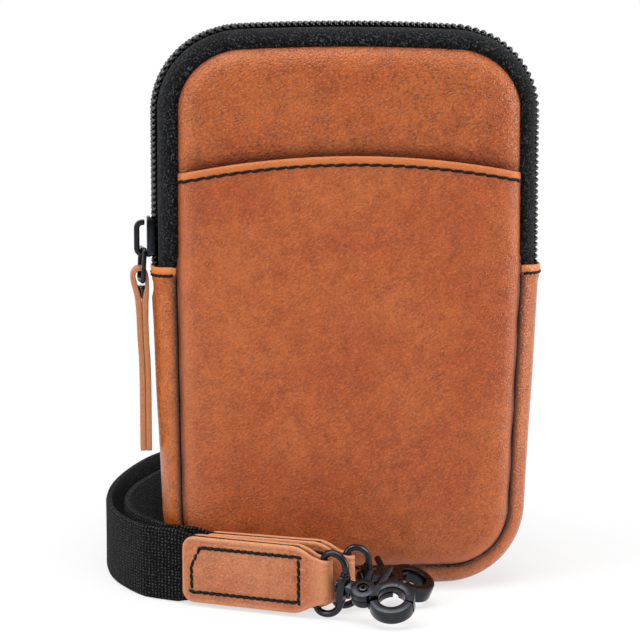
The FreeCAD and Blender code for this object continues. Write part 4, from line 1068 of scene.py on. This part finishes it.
def bent_wire(node, body, name, place=Matrix.Identity(4)):
    """A bent wire on its CAD form, turned in its loose hold."""
    piece = bpy.data.objects.new(name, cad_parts[node].data.copy())
    bpy.context.collection.objects.link(piece)
    only(piece)
    bpy.ops.object.mode_set(mode="EDIT")
    bpy.ops.mesh.select_all(action="SELECT")
    bpy.ops.mesh.remove_doubles(threshold=0.000002)
    bpy.ops.object.mode_set(mode="OBJECT")
    return finish_metal(piece, place, body, node)


LINK_X, LINK_BAR, LINK_SHIFT = -65.15, 109.95, 0.15
link_spot = Vector((LINK_X * MM, 0.0, LINK_BAR * MM))
link_lean = Matrix.Rotation(radians(7.0), 4, "Z") @ Matrix.Rotation(radians(3.2), 4, "Y")
link_shift = Matrix.Translation(link_spot - Vector((LINK_SHIFT * MM, 0.0, 0.0)))
link_turn = link_shift @ link_lean @ Matrix.Translation(-link_spot)
bent_wire("zip_pull_link", "pull_link", "pull_link_wire", link_turn)
for side_name in ("left", "right"):
    bent_wire(f"anchor_ring_{side_name}", f"ring_{side_name}", f"anchor_ring_wire_{side_name}")


# ---- stitches

# Along a stitch: its place by length, its width by thickness, and its lift by thickness.
STITCH_RINGS = [
    (-0.5, 0.25, -0.9), (-0.44, 0.7, -0.35), (-0.25, 1.0, 0.05), (0.0, 1.0, 0.22),
    (0.25, 1.0, 0.05), (0.44, 0.7, -0.35), (0.5, 0.25, -0.9),
]
STITCH_SIDES = np.linspace(0, 2 * pi, 6, endpoint=False)


def stitches(name, line, faces_to, pitch, long, thick, slant):
    """A row of sewn stitches along a line of points, each lying on a face with that normal."""
    line, faces_to = np.asarray(line, float), np.asarray(faces_to, float)
    way = run_along(line)
    count = max(1, int(way[-1] / pitch))
    points, faces = [], []
    for k in range(count):
        at = (k + 0.5) * way[-1] / count
        spot, up = sample(at, way, line), sample(at, way, faces_to)
        ahead = sample(at + 0.4, way, line) - sample(at - 0.4, way, line)
        ahead /= np.linalg.norm(ahead)
        up = up - ahead * (up @ ahead)
        up /= np.linalg.norm(up)
        run = ahead * cos(slant) + np.cross(up, ahead) * sin(slant)
        edge = np.cross(up, run)
        rows = []
        for share, size, lift in STITCH_RINGS:
            heart = spot + run * (share * long) + up * (lift * thick)
            rows.append([heart + (edge * cos(a) + up * sin(a)) * (thick * size) for a in STITCH_SIDES])
        more, sides = net(rows, around=True, capped=True)
        faces += shifted(sides, len(points))
        points += more
    return tidy_normals(put(name, points, faces, THREAD))


def pocket_stitches():
    """The stitches under the pocket's edge."""
    line = []
    for x in np.linspace(-54.6, 54.6, 120):
        z = POCKET_TOP - POCKET_SEWN - arch_drop(x)
        line.append((x, -(SEAM_DEPTH + pocket_depth(x, z, POCKET_SEWN)), z))
    up = [(0.0, -1.0, 0.0)] * len(line)
    piece = stitches("pocket_stitches", line, up, pitch=3.6, long=4.5, thick=0.52, slant=0.15)
    return settle(piece, "mouth", "zip_tape")


pocket_stitches()


def band_stitches(side):
    """The hem's stitches, from seam to seam round the band."""
    line, up = [], []
    lean = (SEAM_HALF - (FOOT_LEFT if side < 0 else FOOT_RIGHT)) / (FOLD - SEAM_FOOT)
    spot = (side * (SEAM_HALF - lean * HEM_SEWN), FOLD - HEM_SEWN)
    for share in np.linspace(-0.985, 0.985, 90):
        x, y, z = band_point(spot, (side, 0.0), share, hem_swell(HEM_SEWN), HEM_SEWN)
        line.append((x + side * (0.08 - 0.45 * pull_dent(x, y, z)), y + 0.2 * share, z))
        slope = (band_lift(share + 0.02) - band_lift(share - 0.02)) / (0.04 * SEAM_DEPTH)
        up.append((side, -slope, 0.0))
    name = "band_stitches_left" if side < 0 else "band_stitches_right"
    piece = stitches(name, line, up, pitch=1.9, long=2.5, thick=0.48, slant=0.16)
    return settle(piece, "pouch", "zip_tape")


band_stitches(-1)
band_stitches(1)


# ---- folded leather strips

TAB_CORNER, TAB_MIDDLE, TAB_FACE = 4.2, 1.85, 2.52
TAB_EDGE, TAB_GROOVE, TAB_SEWN = 0.75, 1.75, 3.4
NECK_AT = [0.0, 38.0, 40.0, 42.0, 44.5, 47.5, TAB_END]
NECK = [TAB_HALF, TAB_HALF, 10.2, 9.4, 8.0, 7.05, 6.6]


def tab_axes(spot, yaw):
    """A tab's middle at its free end, and the directions along and across it."""
    c, s = cos(yaw), sin(yaw)
    return np.array((*spot, WEB_MIDDLE)), np.array((c, -s, 0.0)), np.array((s, c, 0.0))


def tab_half(d):
    """Half of a tab's height along its length, with rounded corners."""
    half = float(np.interp(d, NECK_AT, NECK))
    if d < TAB_CORNER:
        return half - TAB_CORNER + sqrt(max(0.0, TAB_CORNER ** 2 - (TAB_CORNER - d) ** 2))
    return half


def make_tab(which, spot, yaw):
    """A leather tab folded round the eye's bar: front layer, fold, back layer."""
    fold_at = TAB_END - 2.6
    lengths = [*np.linspace(0.0, 5.0, 14), *np.linspace(5.6, fold_at, 62)]
    turns = [(cos(a), sin(a)) for a in np.radians(np.linspace(-90, 90, 15)[1:-1])]
    # Round the strip: the way along the tab, the way across it, and the outward normal.
    stations = [(d, -TAB_MIDDLE, 0.0, -1.0) for d in lengths]
    stations += [(fold_at + TAB_MIDDLE * c, TAB_MIDDLE * s, c, s) for c, s in turns]
    stations += [(d, TAB_MIDDLE, 0.0, 1.0) for d in reversed(lengths)]
    base, along, across = tab_axes(spot, yaw)
    outer, inner, wear = [], [], []
    for d, aside, n0, n1 in stations:
        half = tab_half(d)
        normal = along * n0 + across * n1
        thinned = 0.24 * clamp((d - 41.0) / 2.0)
        rubbed = 0.55 * clamp((d - 43.0) / 5.0)
        face, back = [], []
        for share in bunched(45):
            h = half * share
            gap = min(half - abs(h), d if d < 12 else 99.0)
            if d < TAB_CORNER and abs(h) > TAB_HALF - TAB_CORNER:
                gap = max(0.0, TAB_CORNER - hypot(TAB_CORNER - d, abs(h) - (TAB_HALF - TAB_CORNER)))
            full = min(1.0, gap / TAB_EDGE)
            body = 0.5 * LAYER * sqrt(max(0.0, 1 - (1 - full) ** 2))
            groove = 0.20 * exp(-((gap - TAB_GROOVE) / 0.32) ** 2)
            sewn = 0.22 * exp(-((gap - TAB_SEWN) / 0.4) ** 2) if d < TAB_HELD + 1.0 else 0.0
            pillow = 0.25 * min(1.0, max(0.0, gap - TAB_SEWN) / 3.0) if d < TAB_HELD else 0.0
            middle = base + along * d + across * aside + np.array((0, 0, h))
            face.append(middle + normal * (body - groove - sewn + pillow))
            back.append(middle - normal * (body - thinned))
            wear.append(max(0.85 * max(0.0, 1 - gap / 1.6), rubbed))
        outer.append(face)
        inner.append(back)
    points, faces = net(outer)
    more, others = net(inner, flip=True)
    faces += shifted(others, len(points))
    piece = tidy_normals(put(f"tab_leather_{which}", points + more, faces, TAB_LEATHER, wear + wear))
    return settle(piece, "strap", "leather", f"strap_tab_{which}")


def boxed(corners, count):
    """Points along straight runs from corner to corner, back to the first."""
    corners = np.array(corners)
    points = [
        a + (b - a) * share
        for a, b in zip(corners, corners[1:]) for share in np.linspace(0, 1, count, endpoint=False)
    ]
    return points + points[:1]


def tab_stitches(which, spot, yaw, side):
    """The sewn box on one face of a tab."""
    base, along, across = tab_axes(spot, yaw)
    across = across * side
    corners = [(6.6, 7.2), (40.4, 7.2), (40.4, -7.0), (3.7, -7.0), (3.5, 1.0), (6.6, 7.2)]
    line = [base + along * d + across * TAB_FACE + np.array((0, 0, h)) for d, h in boxed(corners, 24)]
    name = f"tab_stitches_{which}_{'front' if side < 0 else 'back'}"
    piece = stitches(name, line, [across] * len(line), pitch=2.3, long=2.9, thick=0.55, slant=0.18)
    return settle(piece, "strap", "webbing")


for which, spot, yaw in (("outer", OUTER_TAB, OUTER_YAW), ("inner", INNER_TAB, INNER_YAW)):
    strap_fittings.append(make_tab(which, spot, yaw))
    strap_fittings.append(tab_stitches(which, spot, yaw, -1))
    strap_fittings.append(tab_stitches(which, spot, yaw, 1))


def strip(name, line, count, section, place, material):
    """A leather strip along a flat line; section gives its half thickness and wear at each place across it."""
    rows, wear = [], []
    for i, (spot, along) in enumerate(zip(line, headings(line))):
        normal = np.array((-along[1], along[0]))
        face, back, worn = [], [], []
        for share in bunched(count):
            body, rubbed = section(i, share)
            face.append(place(share, spot + normal * body))
            back.append(place(share, spot - normal * body))
            worn.append(rubbed)
        rows.append(face + back[::-1])
        wear += worn + worn[::-1]
    return tidy_normals(put(name, *net(rows, around=True, capped=True), material, wear))


PULL_X, PULL_FOOT, PULL_HALF, WEDGE_HALF = LINK_X - 0.1, 45.1, 4.0, 3.3
# The pull at each height: where its outer and inner layers' middles run, and half of each layer's thickness.
PULL_SHAPE = [
    (PULL_FOOT, -0.44, 1.42, 0.92, 0.92), (60.0, -0.45, 1.42, 0.92, 0.92), (67.0, -0.48, 1.40, 0.92, 0.92),
    (74.0, -0.62, 1.24, 0.92, 0.92), (80.0, -1.0, 0.86, 0.92, 0.92), (87.0, -1.25, 0.62, 0.93, 0.93),
    (90.0, -1.36, 0.62, 0.98, 0.98), (93.0, -1.52, 0.60, 1.04, 1.04), (94.6, -1.72, 0.76, 1.0, 1.0),
    (96.0, -2.05, 0.95, 0.95, 0.85), (97.4, -2.45, 1.2, 0.9, 0.70), (98.8, -2.85, 1.32, 0.87, 0.54),
    (100.4, -3.3, 1.32, 0.85, 0.52), (101.6, -3.42, 1.2, 0.83, 0.54), (102.7, -3.15, 0.75, 0.8, 0.58),
    (103.6, -2.4, 0.0, 0.78, 0.64),
]
PULL_TOP = (-1.3, 104.1, 0.72)


def make_pull():
    """The zip's leather pull: one strip folded round the link's bar, open in a drop-shaped loop at the top."""
    left = [(x, z, body) for z, x, inner, body, slim in PULL_SHAPE]
    right = [(x, z, slim) for z, outer, x, body, slim in PULL_SHAPE]
    middle = np.array(left + [PULL_TOP] + right[::-1])
    way = run_along(middle[:, :2])
    at = np.linspace(0.0, way[-1], 170)
    line = sample(at, way, middle)
    for _ in range(3):
        line[1:-1] = (line[:-2] + 2 * line[1:-1] + line[2:]) / 4

    def section(i, share):
        gap = min(PULL_HALF - abs(PULL_HALF * share), min(at[i], at[-1] - at[i]) + 0.2)
        full = min(1.0, gap / 0.35)
        body = line[i, 2] * (0.6 + 0.4 * sqrt(max(0.0, 1 - (1 - full) ** 2)))
        return body, 0.8 * max(0.0, 1 - gap / 0.9)

    def place(share, spot):
        return (PULL_X + spot[0], PULL_HALF * share, spot[1])

    piece = strip("pull_strip", line[:, :2], 21, section, place, PULL_LEATHER)
    return settle(piece, "pull", "pull_leather", "zip_pull_leather")


make_pull()


def make_wedge():
    """A dark block that fills the pull's loop under the link's bar."""
    walls = [(94.2, -0.6, -0.3), (95.0, -0.85, -0.1), (96.0, -1.1, 0.1), (97.0, -1.4, 0.3), (98.0, -1.75, 0.48)]
    rows = []
    for z, outer, inner in walls:
        around = ((outer, -WEDGE_HALF), (inner, -WEDGE_HALF), (inner, WEDGE_HALF), (outer, WEDGE_HALF))
        rows.append([(PULL_X + x, y, z) for x, y in around])
    piece = put("pull_wedge", *net(rows, around=True, capped=True), NYLON)
    return settle(tidy_normals(piece), "pull", "pull_leather")


make_wedge()


# ---- back loops

def make_ring_loop(side_name):
    """A leather keeper on the back, folded round the anchor ring's bar and sewn down."""
    low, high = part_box(f"ring_loop_{side_name}")
    (x0, base_y, foot), x1 = [c / MM for c in low], high[0] / MM
    half = (x1 - x0) / 2
    bar_y, bar_z, radius, under, over = 20.75, 158.0, 2.15, 0.7, 2.15
    path = [(base_y + under, foot)] + [(base_y + under, z) for z in np.linspace(foot + 2, bar_z - 1, 10)]
    path += [
        (bar_y + radius * cos(a), bar_z + radius * sin(a)) for a in np.radians(np.linspace(180, 0, 13))]
    flare = bar_y + radius - base_y - over
    path += [
        (base_y + over + flare * t ** 2, z)
        for t, z in zip(np.linspace(1, 0, 10), np.linspace(bar_z - 1, foot + 0.5, 10))
    ]
    way = run_along(path)

    def section(_, share):
        gap = half * (1 - abs(share))
        body = 0.68 * sqrt(max(0.05, 1 - (1 - min(1.0, gap / 0.6)) ** 2))
        return body, 0.8 * max(0.0, 1 - gap / 1.3)

    def place(share, spot):
        return ((x0 + x1) / 2 + half * share, *spot)

    line = sample(np.linspace(0.0, way[-1], 90), way, path)
    piece = strip(f"ring_keeper_{side_name}", line, 25, section, place, TAB_LEATHER)
    settle(piece, "pouch", "leather", f"ring_loop_{side_name}")
    left, right, bottom, top = x0 + 2.0, x1 - 2.0, foot + 1.8, foot + 9.5
    corners = [(left, bottom), (right, bottom), (right, top), (left, top), (left, bottom)]
    line = [(x, base_y + 2.75 + 0.10 * (z - foot) / 9.5, z) for x, z in boxed(corners, 14)]
    name, up = f"keeper_stitches_{side_name}", [(0.0, 1.0, 0.0)] * len(line)
    sewn = stitches(name, line, up, pitch=2.5, long=2.4, thick=0.45, slant=0.16)
    settle(sewn, "pouch", "zip_tape")


make_ring_loop("left")
make_ring_loop("right")


# ---- strap facts

exit_spot = [c * MM for c in (*strap_route[0], WEB_MIDDLE)]


# ---- floor and light

WHITE = (1.0, 1.0, 1.0, 1.0)


def make_floor():
    """A pale floor that keeps the object's soft shadow and fades to white."""
    bpy.ops.mesh.primitive_circle_add(vertices=96, radius=2.6, fill_type="NGON", location=(0.0, 0.0, -0.0002))
    floor = bpy.context.active_object
    floor.name = "pale_floor"
    made, tree, place = start_material("pale_floor_sweep")
    far = add(tree, "ShaderNodeVectorMath", {"operation": "LENGTH"}, i0=place).outputs["Value"]
    white = add(tree, "ShaderNodeMapRange", EASE, Value=far, i1=0.08, i2=0.28, i3=0.66, i4=1.0)
    rays = add(tree, "ShaderNodeLightPath").outputs
    seen = add(tree, "ShaderNodeMath", MOST, i0=rays["Is Camera Ray"], i1=rays["Is Glossy Ray"])
    seen = add(tree, "ShaderNodeMath", MOST, i0=seen, i1=rays["Is Transmission Ray"])
    share = add(tree, "ShaderNodeMath", TIMES, i0=white, i1=seen)
    paint = add(tree, "ShaderNodeBsdfDiffuse", Color=(0.93, 0.93, 0.93, 1.0))
    glow = add(tree, "ShaderNodeEmission", Color=WHITE, Strength=1.0)
    mixed = add(tree, "ShaderNodeMixShader", i0=share, i1=paint, i2=glow)
    add(tree, "ShaderNodeOutputMaterial", Surface=mixed)
    floor.data.materials.append(made)


def make_world():
    """A studio with a white sweep behind and a bright ceiling, dim towards the front."""
    world = bpy.data.worlds.new("studio")
    bpy.context.scene.world = world
    world.use_nodes = True
    tree = world.node_tree
    tree.nodes.clear()
    way = add(tree, "ShaderNodeTexCoord").outputs["Generated"]
    parts = add(tree, "ShaderNodeSeparateXYZ", Vector=way).outputs
    above = add(tree, "ShaderNodeMapRange", EASE, Value=parts["Z"], i1=0.25, i2=0.85, i3=0.0, i4=1.0)
    behind = add(tree, "ShaderNodeMapRange", EASE, Value=parts["Y"], i1=-0.1, i2=0.6, i3=0.0, i4=1.0)
    bright = add(tree, "ShaderNodeMath", MOST, i0=above, i1=behind)
    rays = add(tree, "ShaderNodeLightPath").outputs
    mirrored = add(tree, "ShaderNodeMath", TIMES, i0=rays["Is Glossy Ray"], i1=bright)
    seen = add(tree, "ShaderNodeMath", MOST, i0=rays["Is Camera Ray"], i1=rays["Is Transmission Ray"])
    seen = add(tree, "ShaderNodeMath", MOST, i0=seen, i1=mirrored)
    level = add(tree, "ShaderNodeMapRange", Value=bright, i1=0.0, i2=1.0, i3=0.2, i4=0.55)
    room = add(tree, "ShaderNodeBackground", Color=WHITE, Strength=level)
    white = add(tree, "ShaderNodeBackground", Color=WHITE, Strength=1.0)
    mixed = add(tree, "ShaderNodeMixShader", i0=seen, i1=room, i2=white)
    add(tree, "ShaderNodeOutputWorld", Surface=mixed)


def softbox(name, place, aim_at, wide, high, power):
    """A rectangular lamp, turned to what it is aimed at."""
    lamp = bpy.data.lights.new(name, "AREA")
    lamp.shape = "RECTANGLE"
    lamp.size = wide
    lamp.size_y = high
    lamp.energy = power
    holder = bpy.data.objects.new(name, lamp)
    bpy.context.collection.objects.link(holder)
    holder.location = place
    holder.rotation_euler = (Vector(aim_at) - Vector(place)).to_track_quat("-Z", "Y").to_euler()


make_floor()
make_world()
softbox("top_softbox", (-0.15, -0.25, 0.95), (0.0, 0.0, 0.08), wide=0.8, high=0.6, power=6.0)
softbox("left_softbox", (-0.95, -0.55, 0.55), (0.0, 0.0, 0.08), wide=0.5, high=0.8, power=6.0)
softbox("right_softbox", (1.1, -0.25, 0.28), (0.0, 0.0, 0.07), wide=0.5, high=0.8, power=11.0)
